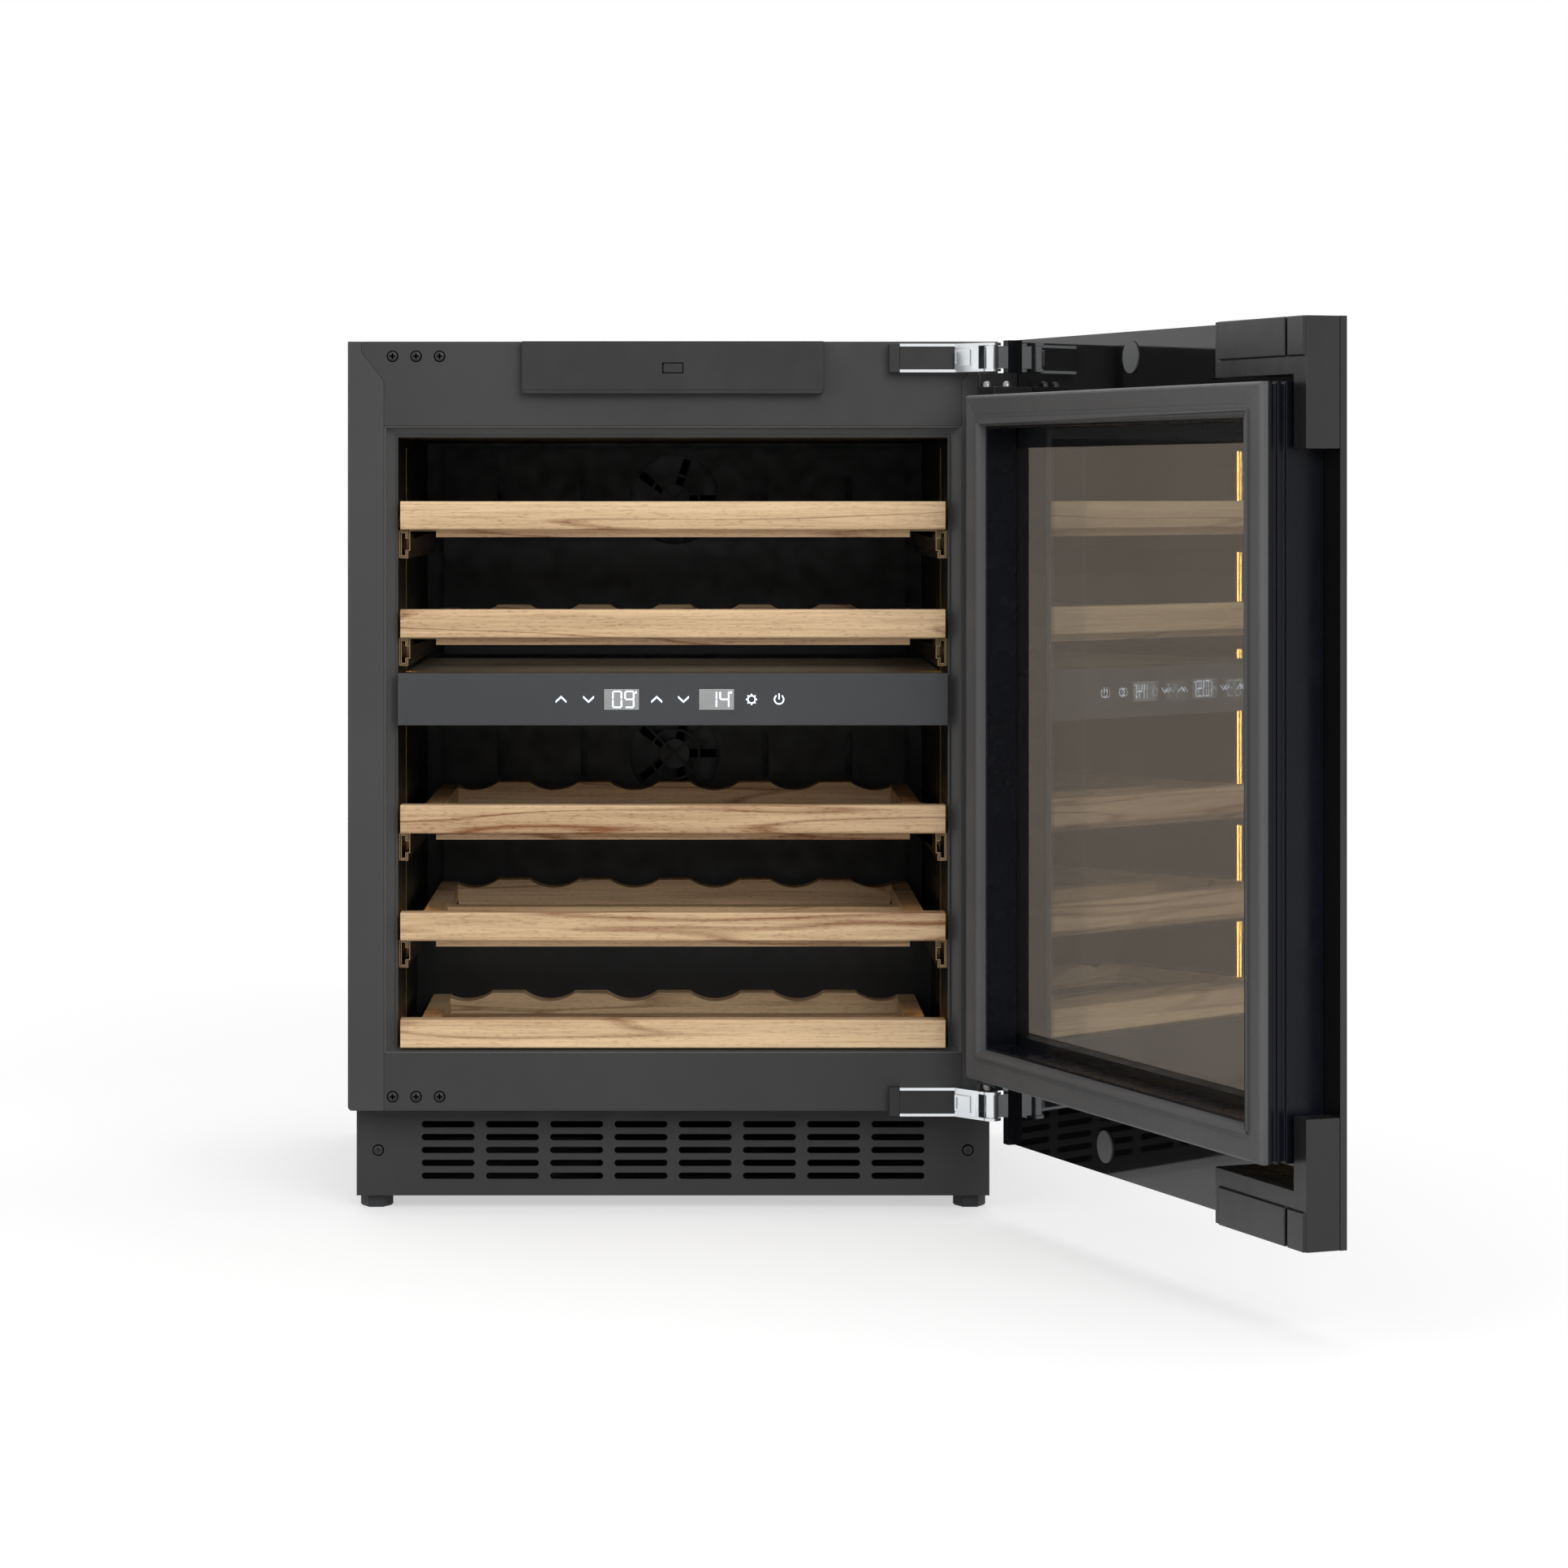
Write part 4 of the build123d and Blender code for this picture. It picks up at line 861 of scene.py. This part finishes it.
@dataclass
class CrossScrew:
    """A domed screw head with a cross recess."""

    radius: float = 0.0044
    height: float = 0.0018
    slot_length: float = 0.0054
    slot_width: float = 0.0014
    slot_depth: float = 0.0015
    smooth: float = math.radians(35.0)
    # The rings under the heads are near-black: painted shade of the gap round each head.
    shade_ring_radius: float = 0.0054
    shade_ring_height: float = 0.0003

    def build(self, name: str, foot: Vector, out: float) -> bpy.types.Object:
        """Make one head that stands out along Y.

        Args:
            name: The piece's name.
            foot: The middle of the face that it stands on.
            out: One towards the back, minus one towards the front.

        Returns:
            The head.
        """
        head = dome(name, foot, Vector((0.0, out, 0.0)), self.radius, self.height)
        top = foot.y + out * self.height
        reach = sorted((top - out * self.slot_depth, top + out * self.slot_depth))
        long, thin = self.slot_length / 2, self.slot_width / 2
        for half_x, half_z in ((long, thin), (thin, long)):
            low = (foot.x - half_x, reach[0], foot.z - half_z)
            high = (foot.x + half_x, reach[1], foot.z + half_z)
            carved(head, block("cutter", low, high))
        return head

    def washers(self, name: str, feet: list[Vector], out: float) -> bpy.types.Object:
        """Make thin near-black rings under a set of heads as one piece, as painted shade of the gap round
        each head.

        Args:
            name: The piece's name.
            feet: Where each head stands.
            out: One towards the back, minus one towards the front.

        Returns:
            The rings of painted shade.
        """
        first = dome(name, feet[0], Vector((0.0, out, 0.0)), self.shade_ring_radius, self.shade_ring_height)
        return joined(name, [first] + [repeated(first, name, foot - feet[0]) for foot in feet[1:]])

    def row(self, name: str, feet: list[Vector], out: float) -> bpy.types.Object:
        """Make a set of heads as one piece.

        Args:
            name: The piece's name.
            feet: Where each head stands.
            out: One towards the back, minus one towards the front.

        Returns:
            The heads, smooth where they are round.
        """
        first = self.build(name, feet[0], out)
        heads = [first] + [repeated(first, name, foot - feet[0]) for foot in feet[1:]]
        piece = joined(name, heads)
        pick(piece)
        bpy.ops.object.shade_smooth_by_angle(angle=self.smooth)
        return piece


@dataclass
class Cabinet:
    """The carcass: its opening trim, grille, screws and the still half of the hinges."""

    paint: Paint
    screw: CrossScrew = field(default_factory=CrossScrew)
    trim_round: float = 0.0003
    slope_area: float = 0.001
    slope_facing: Pair = (0.3, 0.95)
    channel_edge: float = 0.0020
    channel_wall: float = 0.0004
    channel_depth: float = 0.0028
    slot_round: float = 0.0010
    slot_steps: int = 2
    slot_margin: float = 0.012
    slot_smooth: float = math.radians(25.0)
    end_round: float = 0.0005
    cover_end: float = 0.0095
    cover_sink: float = 0.0002
    plate: float = 0.0025
    pad_stand: Stand = Stand((0.257, -0.269, 0.0), math.radians(-47.7))
    pad_length: Pair = (0.0016, 0.0212)
    pad_round: float = 0.0003
    pad_thick: float = 0.0022
    pad_height: float = 0.0150
    pad_slot: Pair = (0.0036, 0.0054)
    back_margin: float = 0.014
    back_rows: dict[str, int] = field(default_factory=lambda: {"back_panel": 4, "rear_vent_cover": 2})

    def build(self) -> None:
        """Make every piece of the cabinet."""
        self.opening_trim()
        self.grille()
        self.front_screws()
        self.back_screws()
        self.hinge_ends()
        self.hinge_pads()

    def opening_trim(self) -> None:
        """Sink a channel into the slope of the opening's trim, with mitred corners."""
        trim = copied("opening_trim", "opening_trim_mitred")
        least, most = self.slope_facing
        with editing(trim, everything=False) as mesh:
            choose_faces(
                mesh, lambda face: least < -face.normal.y < most and face.calc_area() > self.slope_area
            )
            bpy.ops.mesh.inset(thickness=self.channel_edge)
            bpy.ops.mesh.inset(thickness=self.channel_wall, depth=-self.channel_depth)
        rounded(trim, self.trim_round)
        self.paint.dress(trim, "trim_grey")
        seat(trim, "cabinet", "opening_trim")

    def grille(self) -> None:
        """Show the plinth with the round slot ends of punched sheet."""
        piece = copied("plinth_grille", "plinth_grille_punched")
        depth = Vector((0.0, 1.0, 0.0))
        low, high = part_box("plinth_grille")
        inside = self.slot_margin
        with editing(piece, everything=False) as mesh:
            choose_edges(
                mesh,
                lambda edge: along(edge, depth)
                and low.z + inside < edge.verts[0].co.z < high.z - inside
                and abs(edge.verts[0].co.x) < high.x - inside,
            )
            bpy.ops.mesh.bevel(offset=self.slot_round, segments=self.slot_steps, affect="EDGES")
        pick(piece)
        bpy.ops.object.shade_smooth_by_angle(angle=self.slot_smooth)
        self.paint.dress(piece, "case_paint")
        seat(piece, "cabinet", "plinth_grille")

    def front_screws(self) -> None:
        """Give the frame's and the plinth's screws their cross recess, and a near-black ring under each head
        as painted shade of the gap round it.
        """
        feet = []
        for low, high in islands("cover_screws"):
            feet.append(Vector(((low.x + high.x) / 2, high.y, (low.z + high.z) / 2)))
        piece = self.screw.row("cover_screws_crossed", feet, -1.0)
        self.paint.dress(piece, "screw_steel")
        seat(piece, "cabinet", "cover_screws")
        # A thin near-black disc under each head paints the shade of the gap round it.
        washers = self.screw.washers("cover_screw_shade_rings", feet, -1.0)
        self.paint.dress(washers, "screw_steel", "coil_black")
        seat(washers, "cabinet")

    def back_screws(self) -> None:
        """Fasten the back panel and the rear cover along their edges."""
        feet = []
        for node, rows in self.back_rows.items():
            low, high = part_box(node)
            for row in range(rows):
                share = row / (rows - 1)
                level = low.z + self.back_margin + share * (high.z - low.z - 2 * self.back_margin)
                for across in (low.x + self.back_margin, high.x - self.back_margin):
                    feet.append(Vector((across, high.y, level)))
        piece = self.screw.row("back_screws", feet, 1.0)
        self.paint.dress(piece, "screw_steel", "zinc_sheet")
        seat(piece, "cabinet")

    def hinge_ends(self) -> None:
        """Close the inner end of each hinge cover with its black end block."""
        ends = []
        for low, high in islands("hinge_covers"):
            start = (low.x - self.cover_end, low.y, low.z - self.plate)
            stop = (low.x, high.y + self.plate + self.cover_sink, high.z + self.plate)
            ends.append(block("end", start, stop))
        piece = joined("hinge_cover_ends", ends)
        rounded(piece, self.end_round)
        self.paint.dress(piece, "hinge_cover")
        seat(piece, "cabinet")

    def hinge_pads(self) -> None:
        """Set the bright link plate with its narrow slot on the slanted wall of each hinge."""
        pads = []
        for low, high in islands("hinge_covers"):
            middle = (low.z + high.z) / 2
            foot, top = middle - self.pad_height / 2, middle + self.pad_height / 2
            start, end = self.pad_length
            pad = block("pad", (start, -self.pad_thick, foot), (end, self.cover_sink, top), self.pad_stand)
            slot_low = (self.pad_slot[0], -2 * self.pad_thick, foot + self.plate)
            slot_high = (self.pad_slot[1], -self.cover_sink, top - self.plate)
            carved(pad, block("cutter", slot_low, slot_high, self.pad_stand))
            pads.append(pad)
        piece = joined("hinge_link_plates", pads)
        rounded(piece, self.pad_round)
        self.paint.dress(piece, "hinge_chrome")
        seat(piece, "cabinet")


@dataclass
class Slides:
    """The shelf slides, each shown as a folded channel that is open at the front."""

    paint: Paint
    sheet: float = 0.0011
    depth: float = 0.06
    front_zone: float = 0.003
    edge_round: float = 0.0002

    def build(self) -> None:
        """Hollow the front end of every rail."""
        front = Vector((0.0, -1.0, 0.0))
        for node in [name for name in frame["nodes"] if name.endswith("_rails")]:
            piece = copied(node, f"{node}_folded")
            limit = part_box(node)[0].y + self.front_zone
            with editing(piece, everything=False) as mesh:
                choose_faces(
                    mesh,
                    lambda face: face.normal.dot(front) > FACING and face.calc_center_median().y < limit,
                )
                bpy.ops.mesh.inset(thickness=self.sheet, use_individual=True)
                bpy.ops.mesh.extrude_region_move(TRANSFORM_OT_translate={"value": -front * self.depth})
            rounded(piece, self.edge_round, 1)
            # The rails' warm bronze tone is painted amber lamp light.
            self.paint.dress(piece, "rail_steel")
            seat(piece, frame["nodes"][node]["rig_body"], node)


@dataclass
class Door:
    """The door: its gasket, corner brackets and the moving half of the hinges.

    The door's axes start at its hinge-side back corner, with X across the door and Y out of its front.
    """

    paint: Paint
    stand: Stand = Stand((0.30699, -0.27826, 0.0), math.atan2(-0.9304, 0.3665))
    gasket_round: float = 0.0008
    shoulder_round: float = 0.0035
    shoulder_steps: int = 5
    run_length: float = 0.2
    groove: float = 0.017
    inner_land: float = 0.023
    lean: float = 0.0018
    bracket_round: float = 0.0012
    bracket_groove: Pair = (0.5585, 0.5625)
    bracket_depths: Pair = (0.027, 0.034)
    bracket_levels: tuple[Pair, ...] = ((0.069, 0.101), (0.769, 0.801))
    frame_levels: Pair = (0.136, 0.749)
    root_across: Pair = (0.0102, 0.046)
    root_depth: Pair = (0.0002, 0.038)
    root_height: float = 0.008
    root_round: float = 0.0005
    wall: float = 0.005
    wall_heights: Pair = (0.0155, 0.021)
    stud_radius: float = 0.0042
    stud_height: float = 0.0055
    stud_places: tuple[Pair, ...] = ((0.022, 0.0338), (0.031, 0.0185))

    def build(self) -> None:
        """Make every piece of the door."""
        self.gasket()
        self.brackets()
        self.roots()
        self.studs()

    def gasket(self) -> None:
        """Mitre the gasket, lean its face to the groove and round both shoulders of each run."""
        piece = mitred("door_gasket", "door_gasket_mitred", self.stand)
        inward = self.stand.way((0.0, -1.0, 0.0))
        across = self.stand.way((1.0, 0.0, 0.0))
        corners = [corner.co.copy() for corner in piece.data.vertices]
        crown = max(corner.dot(inward) for corner in corners)
        places = [corner.dot(across) for corner in corners]
        levels = [corner.z for corner in corners]

        def margin(edge: bmesh.types.BMEdge) -> float:
            """Measure how far inside the ring's outline an edge lies.

            Args:
                edge: An edge of the gasket.

            Returns:
                The distance for a long edge of the face, and minus one for another edge.
            """
            middle = (edge.verts[0].co + edge.verts[1].co) / 2
            if edge.calc_length() < self.run_length or middle.dot(inward) < crown - TOUCH:
                return -1.0
            place = middle.dot(across)
            aside = min(place - min(places), max(places) - place)
            return min(aside, middle.z - min(levels), max(levels) - middle.z)

        with editing(piece, everything=False) as mesh:
            choose_edges(mesh, lambda edge: abs(margin(edge) - self.groove) < TOUCH)
            bpy.ops.transform.translate(value=inward * -self.lean)
        with editing(piece, everything=False) as mesh:
            choose_edges(mesh, lambda edge: abs(margin(edge)) < TOUCH or margin(edge) > self.inner_land)
            bpy.ops.mesh.bevel(offset=self.shoulder_round, segments=self.shoulder_steps, affect="EDGES")
        rounded(piece, self.gasket_round)
        self.paint.dress(piece, "gasket_rubber")
        seat(piece, "door", "door_gasket")

    def brackets(self) -> None:
        """Cut a second upright groove into each corner bracket and round its edges."""
        piece = copied("corner_brackets", "corner_brackets_soft")
        left, right = self.bracket_groove
        bottom, top = self.bracket_depths
        for low, high in self.bracket_levels:
            carved(piece, block("cutter", (left, -top, low), (right, -bottom, high), self.stand))
        rounded(piece, self.bracket_round)
        self.paint.dress(piece, "bracket_black")
        seat(piece, "door", "corner_brackets")

    def roots(self) -> None:
        """Stand the stepped black foot of each hinge on the door frame."""
        feet = []
        for level, out, tall in zip(self.frame_levels, (-1.0, 1.0), self.wall_heights):
            span = sorted((level, level + out * self.root_height))
            low = (self.root_across[0], -self.root_depth[1], span[0])
            high = (self.root_across[1], -self.root_depth[0], span[1])
            foot = block("root", low, high, self.stand)
            up = Vector((0.0, 0.0, out))
            edge = self.stand.point(Vector((self.root_across[0] + self.wall, 0.0, 0.0)))
            across = self.stand.way((1.0, 0.0, 0.0))
            with editing(foot):
                bpy.ops.mesh.bisect(plane_co=edge, plane_no=across)
            reach = edge.dot(across)
            with editing(foot, everything=False) as mesh:
                choose_faces(
                    mesh,
                    lambda face: face.normal.dot(up) > FACING
                    and face.calc_center_median().dot(across) < reach,
                )
                rise = up * (tall - self.root_height)
                bpy.ops.mesh.extrude_region_move(TRANSFORM_OT_translate={"value": rise})
            feet.append(foot)
        piece = joined("hinge_roots", feet)
        rounded(piece, self.root_round)
        self.paint.dress(piece, "bracket_black")
        seat(piece, "door")

    def studs(self) -> None:
        """Set two bright domed studs on each hinge foot."""
        heads = []
        for level, out in zip(self.frame_levels, (-1.0, 1.0)):
            for across, depth in self.stud_places:
                foot = self.stand.point(Vector((across, -depth, level + out * self.root_height)))
                heads.append(dome("stud", foot, Vector((0.0, 0.0, out)), self.stud_radius, self.stud_height))
        piece = joined("hinge_studs", heads)
        pick(piece)
        bpy.ops.object.shade_smooth_by_angle(angle=SMOOTH_ANGLE)
        self.paint.dress(piece, "hinge_chrome", "stud_steel")
        seat(piece, "door")


class Key(Enum):
    """The signs of the touch keys."""

    RAISE = 1
    LOWER = -1
    MENU = 2
    POWER = 3


@dataclass
class ControlPanel:
    """The lit signs of the touch keys and the figures of the two displays."""

    paint: Paint
    keys: tuple[tuple[float, Key], ...] = (
        (-0.1024, Key.RAISE),
        (-0.0772, Key.LOWER),
        (-0.0148, Key.RAISE),
        (0.0097, Key.LOWER),
        (0.0720, Key.MENU),
        (0.0972, Key.POWER),
    )
    figures: tuple[str, str] = ("09", "14")
    proud: float = 0.00012
    sink: float = 0.00006
    sign_round: float = 0.00004
    stroke: float = 0.0012
    slice_width: float = 0.00006
    chevron: Pair = (0.0049, 0.0045)
    chevron_half: float = 0.00102
    gear_ring: float = 0.0034
    power_ring: float = 0.0042
    power_gap: float = math.radians(70.0)
    tooth: float = 0.0012
    tooth_foot: float = 0.00048
    teeth: int = 8
    arc_steps: int = 28
    full_turn: float = 2 * math.pi - 0.001
    figure_size: Pair = (0.0078, 0.0146)
    figure_pitch: float = 0.0112
    figure_shift: float = 0.0016
    segment: float = 0.0014
    segment_gap: float = 0.00021
    segment_point: float = 0.000665
    degree: float = 0.0019
    segments: dict[str, str] = field(
        default_factory=lambda: {"0": "abcdef", "1": "bc", "4": "bcfg", "9": "abcdfg"}
    )

    def build(self) -> None:
        """Make every sign and both figures."""
        low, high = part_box("control_bar")
        middle = (low.z + high.z) / 2
        self.signs(low.y, middle)
        for window, text in zip(islands("display_windows"), self.figures):
            self.figure(window, text)

    def signs(self, front: float, level: float) -> None:
        """Put the keys' lit signs on the bar.

        Args:
            front: The bar's front face.
            level: The height of the row of keys.
        """
        made = []
        for across, key in self.keys:
            centre = Vector((across, front, level))
            if key in (Key.RAISE, Key.LOWER):
                made.append(self.arrow(centre, float(key.value)))
            elif key is Key.MENU:
                made.extend(self.gear(centre))
            else:
                made.extend(self.power(centre))
        piece = joined("key_signs", made)
        rounded(piece, self.sign_round, 1)
        self.paint.dress(piece, "display", "mark_light")
        seat(piece, "cabinet")

    def arrow(self, centre: Vector, up: float) -> bpy.types.Object:
        """Draw a chevron by running one upright slice to its tip and down again.

        Args:
            centre: The middle of the sign.
            up: One for a chevron that points up, minus one for down.

        Returns:
            The chevron.
        """
        reach, rise = self.chevron
        half = self.chevron_half
        start = centre + Vector((-reach, 0.0, -up * rise / 2))
        thin = self.slice_width
        low = start + Vector((0.0, -self.proud, -half))
        piece = block("arrow", low, start + Vector((thin, self.sink, half)))
        right = Vector((1.0, 0.0, 0.0))
        for run in (Vector((reach - thin, 0.0, up * rise)), Vector((reach, 0.0, -up * rise))):
            with editing(piece, everything=False) as mesh:
                end = max(corner.co.x for corner in mesh.vertices) - thin
                choose_faces(
                    mesh,
                    lambda face: face.normal.dot(right) > FACING and face.calc_center_median().x > end,
                )
                bpy.ops.mesh.extrude_region_move(TRANSFORM_OT_translate={"value": run})
        return piece

    def arc(self, centre: Vector, ring: float, start: float, sweep: float) -> bpy.types.Object:
        """Spin a small slice round a sign's middle.

        Args:
            centre: The middle of the arc.
            ring: The arc's radius.
            start: The angle where it begins, from X towards Z.
            sweep: How far it runs.

        Returns:
            The arc.
        """
        half = self.stroke / 2
        low = Vector((ring - half, -self.proud, -self.slice_width))
        piece = block("arc", centre + low, centre + Vector((ring + half, self.sink, 0.0)))
        up = Vector((0.0, 0.0, 1.0))
        with editing(piece, everything=False) as mesh:
            choose_faces(mesh, lambda face: face.normal.dot(up) > FACING)
            bpy.ops.mesh.spin(steps=self.arc_steps, angle=sweep, center=centre, axis=(0.0, 1.0, 0.0))
        with editing(piece):
            bpy.ops.transform.rotate(value=start, orient_axis="Y", center_override=centre)
            bpy.ops.mesh.remove_doubles(threshold=MERGE)
        return piece

    def gear(self, centre: Vector) -> list[bpy.types.Object]:
        """Draw a ring with teeth all round.

        Args:
            centre: The middle of the sign.

        Returns:
            The ring and its teeth.
        """
        made = [self.arc(centre, self.gear_ring, 0.0, self.full_turn)]
        half = self.tooth / 2
        reach = self.gear_ring + self.tooth_foot
        for index in range(self.teeth):
            low = centre + Vector((reach, -self.proud, -half))
            tooth = block("tooth", low, centre + Vector((reach + self.tooth, self.sink, half)))
            with editing(tooth):
                turn = 2 * math.pi * index / self.teeth
                bpy.ops.transform.rotate(value=turn, orient_axis="Y", center_override=centre)
            made.append(tooth)
        return made

    def power(self, centre: Vector) -> list[bpy.types.Object]:
        """Draw an open ring with a bar in its gap.

        Args:
            centre: The middle of the sign.

        Returns:
            The ring and the bar.
        """
        gap = self.power_gap
        half = self.stroke / 2
        low = centre + Vector((-half, -self.proud, 0.0))
        bar = block("bar", low, centre + Vector((half, self.sink, self.power_ring + self.stroke)))
        return [self.arc(centre, self.power_ring, math.pi / 2 + gap / 2, 2 * math.pi - gap), bar]

    def figure(self, window: tuple[Vector, Vector], text: str) -> None:
        """Light a display's two figures and its degree mark.

        Args:
            window: The display's lowest and highest corner.
            text: The two figures.
        """
        low, high = window
        middle = (low + high) / 2
        tall = self.figure_size[1]
        made = []
        for index, sign in enumerate(text):
            across = middle.x + self.figure_shift + (index - 0.5) * self.figure_pitch
            for name in self.segments[sign]:
                made.append(self.bar(Vector((across, low.y, middle.z)), name))
        corner = Vector((high.x - 2 * self.degree, low.y, middle.z + tall / 2))
        start = corner + Vector((0.0, -self.proud, -self.degree))
        made.append(block("degree", start, corner + Vector((self.degree, self.sink, 0.0))))
        piece = joined(f"display_figures_{text}", made)
        rounded(piece, self.sign_round, 1)
        self.paint.dress(piece, "display", "mark_light")
        seat(piece, "cabinet")

    def bar(self, centre: Vector, name: str) -> bpy.types.Object:
        """Make one segment of a seven-segment figure, with pointed ends.

        Args:
            centre: The middle of the figure on the display's face.
            name: The segment's letter, from a at the top round to g in the middle.

        Returns:
            The segment.
        """
        wide, tall = self.figure_size
        level = {"a": 1.0, "d": -1.0, "g": 0.0}
        half = self.segment / 2
        if name in level:
            middle = centre + Vector((0.0, 0.0, level[name] * tall / 2))
            reach = Vector((wide / 2 - self.segment_gap, 0.0, half))
        else:
            side = 1.0 if name in "bc" else -1.0
            up = 1.0 if name in "bf" else -1.0
            middle = centre + Vector((side * wide / 2, 0.0, up * tall / 4))
            reach = Vector((half, 0.0, tall / 4 - self.segment_gap))
        low = middle - reach + Vector((0.0, -self.proud, 0.0))
        piece = block("segment", low, middle + reach + Vector((0.0, self.sink, 0.0)))
        depth = Vector((0.0, 1.0, 0.0))
        with editing(piece, everything=False) as mesh:
            choose_edges(mesh, lambda edge: along(edge, depth))
            bpy.ops.mesh.bevel(offset=self.segment_point, segments=1, affect="EDGES")
        return piece


@dataclass(frozen=True)
class Softbox:
    """One square soft lamp: its name, its place, the side of its face and its power in watts."""

    name: str
    place: Place
    size: float
    power: float


@dataclass
class Studio:
    """Plain pale floor, soft light and the camera."""

    camera_place: Place = (0.0156, -4.145, 0.662)
    lens: float = 97.6
    shift: Pair = (0.060, -0.186)
    floor_size: float = 60.0
    floor_tone: float = 0.5
    floor_lift: Pair = (0.55, 0.8)
    floor_reach: Pair = (1.0, 5.0)
    ambient: float = 0.5
    softboxes: tuple[Softbox, ...] = (
        Softbox("key_softbox", (1.5, -4.5, 2.6), 2.6, 104.0),
        Softbox("fill_softbox", (-3.0, -3.4, 2.4), 2.6, 22.0),
        Softbox("top_softbox", (0.0, 0.6, 3.6), 3.0, 50.0),
    )

    def build(self) -> None:
        """Set up the view, the floor, the world and the lamps."""
        bpy.context.scene.view_settings.view_transform = "Standard"
        self.camera()
        self.floor()
        self.world()
        for box in self.softboxes:
            self.hang(box)

    def camera(self) -> None:
        """Stand the camera level at the photograph's place."""
        data = bpy.data.cameras.new("camera")
        data.lens = self.lens
        data.shift_x, data.shift_y = self.shift
        camera = bpy.data.objects.new("camera", data)
        camera.location = self.camera_place
        camera.rotation_euler = (math.radians(90.0), 0.0, 0.0)
        bpy.context.scene.collection.objects.link(camera)
        bpy.context.scene.camera = camera

    @staticmethod
    def seen(graph: Graph) -> bpy.types.NodeSocket:
        """Tell the rays that the camera sees straight, in a mirror or through glass.

        Args:
            graph: The tree to work in.

        Returns:
            One for such a ray, and zero for another.
        """
        path = graph.add("ShaderNodeLightPath")
        mirror = graph.maths("MAXIMUM", path.outputs["Is Glossy Ray"], path.outputs["Is Transmission Ray"])
        return graph.maths("MAXIMUM", path.outputs["Is Camera Ray"], mirror)

    def floor(self) -> None:
        """Lay the pale floor, which keeps the object's shadow and fades to white far off."""
        bpy.ops.object.select_all(action="DESELECT")
        bpy.ops.mesh.primitive_plane_add(size=self.floor_size, location=(0.0, 0.0, 0.0))
        floor = bpy.context.active_object
        floor.name = "floor"
        made = bpy.data.materials.new("pale_floor")
        made.use_nodes = True
        made.node_tree.nodes.clear()
        graph = Graph(made.node_tree)
        shade = (self.floor_tone, self.floor_tone, self.floor_tone, 1.0)
        matt = graph.add("ShaderNodeBsdfDiffuse", {"Color": shade})
        place = graph.add("ShaderNodeTexCoord").outputs["Object"]
        away = graph.add("ShaderNodeVectorMath", {0: place}, operation="LENGTH").outputs["Value"]
        rise = graph.spread(away, self.floor_reach, *self.floor_lift)
        lift = graph.maths("MULTIPLY", self.seen(graph), rise)
        glow = graph.add("ShaderNodeEmission", {"Strength": lift})
        both = graph.add("ShaderNodeAddShader", {0: matt.outputs[0], 1: glow.outputs[0]})
        graph.add("ShaderNodeOutputMaterial", {"Surface": both.outputs[0]})
        floor.data.materials.append(made)

    def world(self) -> None:
        """Make a white background that lights the object softly."""
        world = bpy.data.worlds.new("white_room")
        world.use_nodes = True
        world.node_tree.nodes.clear()
        graph = Graph(world.node_tree)
        strength = graph.spread(self.seen(graph), (0.0, 1.0), self.ambient, 1.0)
        sky = graph.add("ShaderNodeBackground", {"Color": (1.0, 1.0, 1.0, 1.0), "Strength": strength})
        graph.add("ShaderNodeOutputWorld", {"Surface": sky.outputs[0]})
        bpy.context.scene.world = world

    @staticmethod
    def hang(box: Softbox) -> None:
        """Hang one softbox so that it faces the object.

        Args:
            box: The lamp to hang.
        """
        data = bpy.data.lights.new(box.name, "AREA")
        data.size = box.size
        data.energy = box.power
        lamp = bpy.data.objects.new(box.name, data)
        lamp.location = box.place
        aim = (CAD_LOW + CAD_HIGH) / 2 - Vector(box.place)
        lamp.rotation_mode = "QUATERNION"
        lamp.rotation_quaternion = aim.to_track_quat("-Z", "Y")
        bpy.context.scene.collection.objects.link(lamp)


def main() -> None:
    """Build every sub-assembly in order, then the studio."""
    logging.basicConfig(level=logging.INFO, format="%(message)s")
    paint = Paint()
    paint.dress_frame()
    Softened(paint).build()
    Cabinet(paint).build()
    Slides(paint).build()
    Door(paint).build()
    ControlPanel(paint).build()
    Studio().build()


if __name__ == "__main__":
    main()
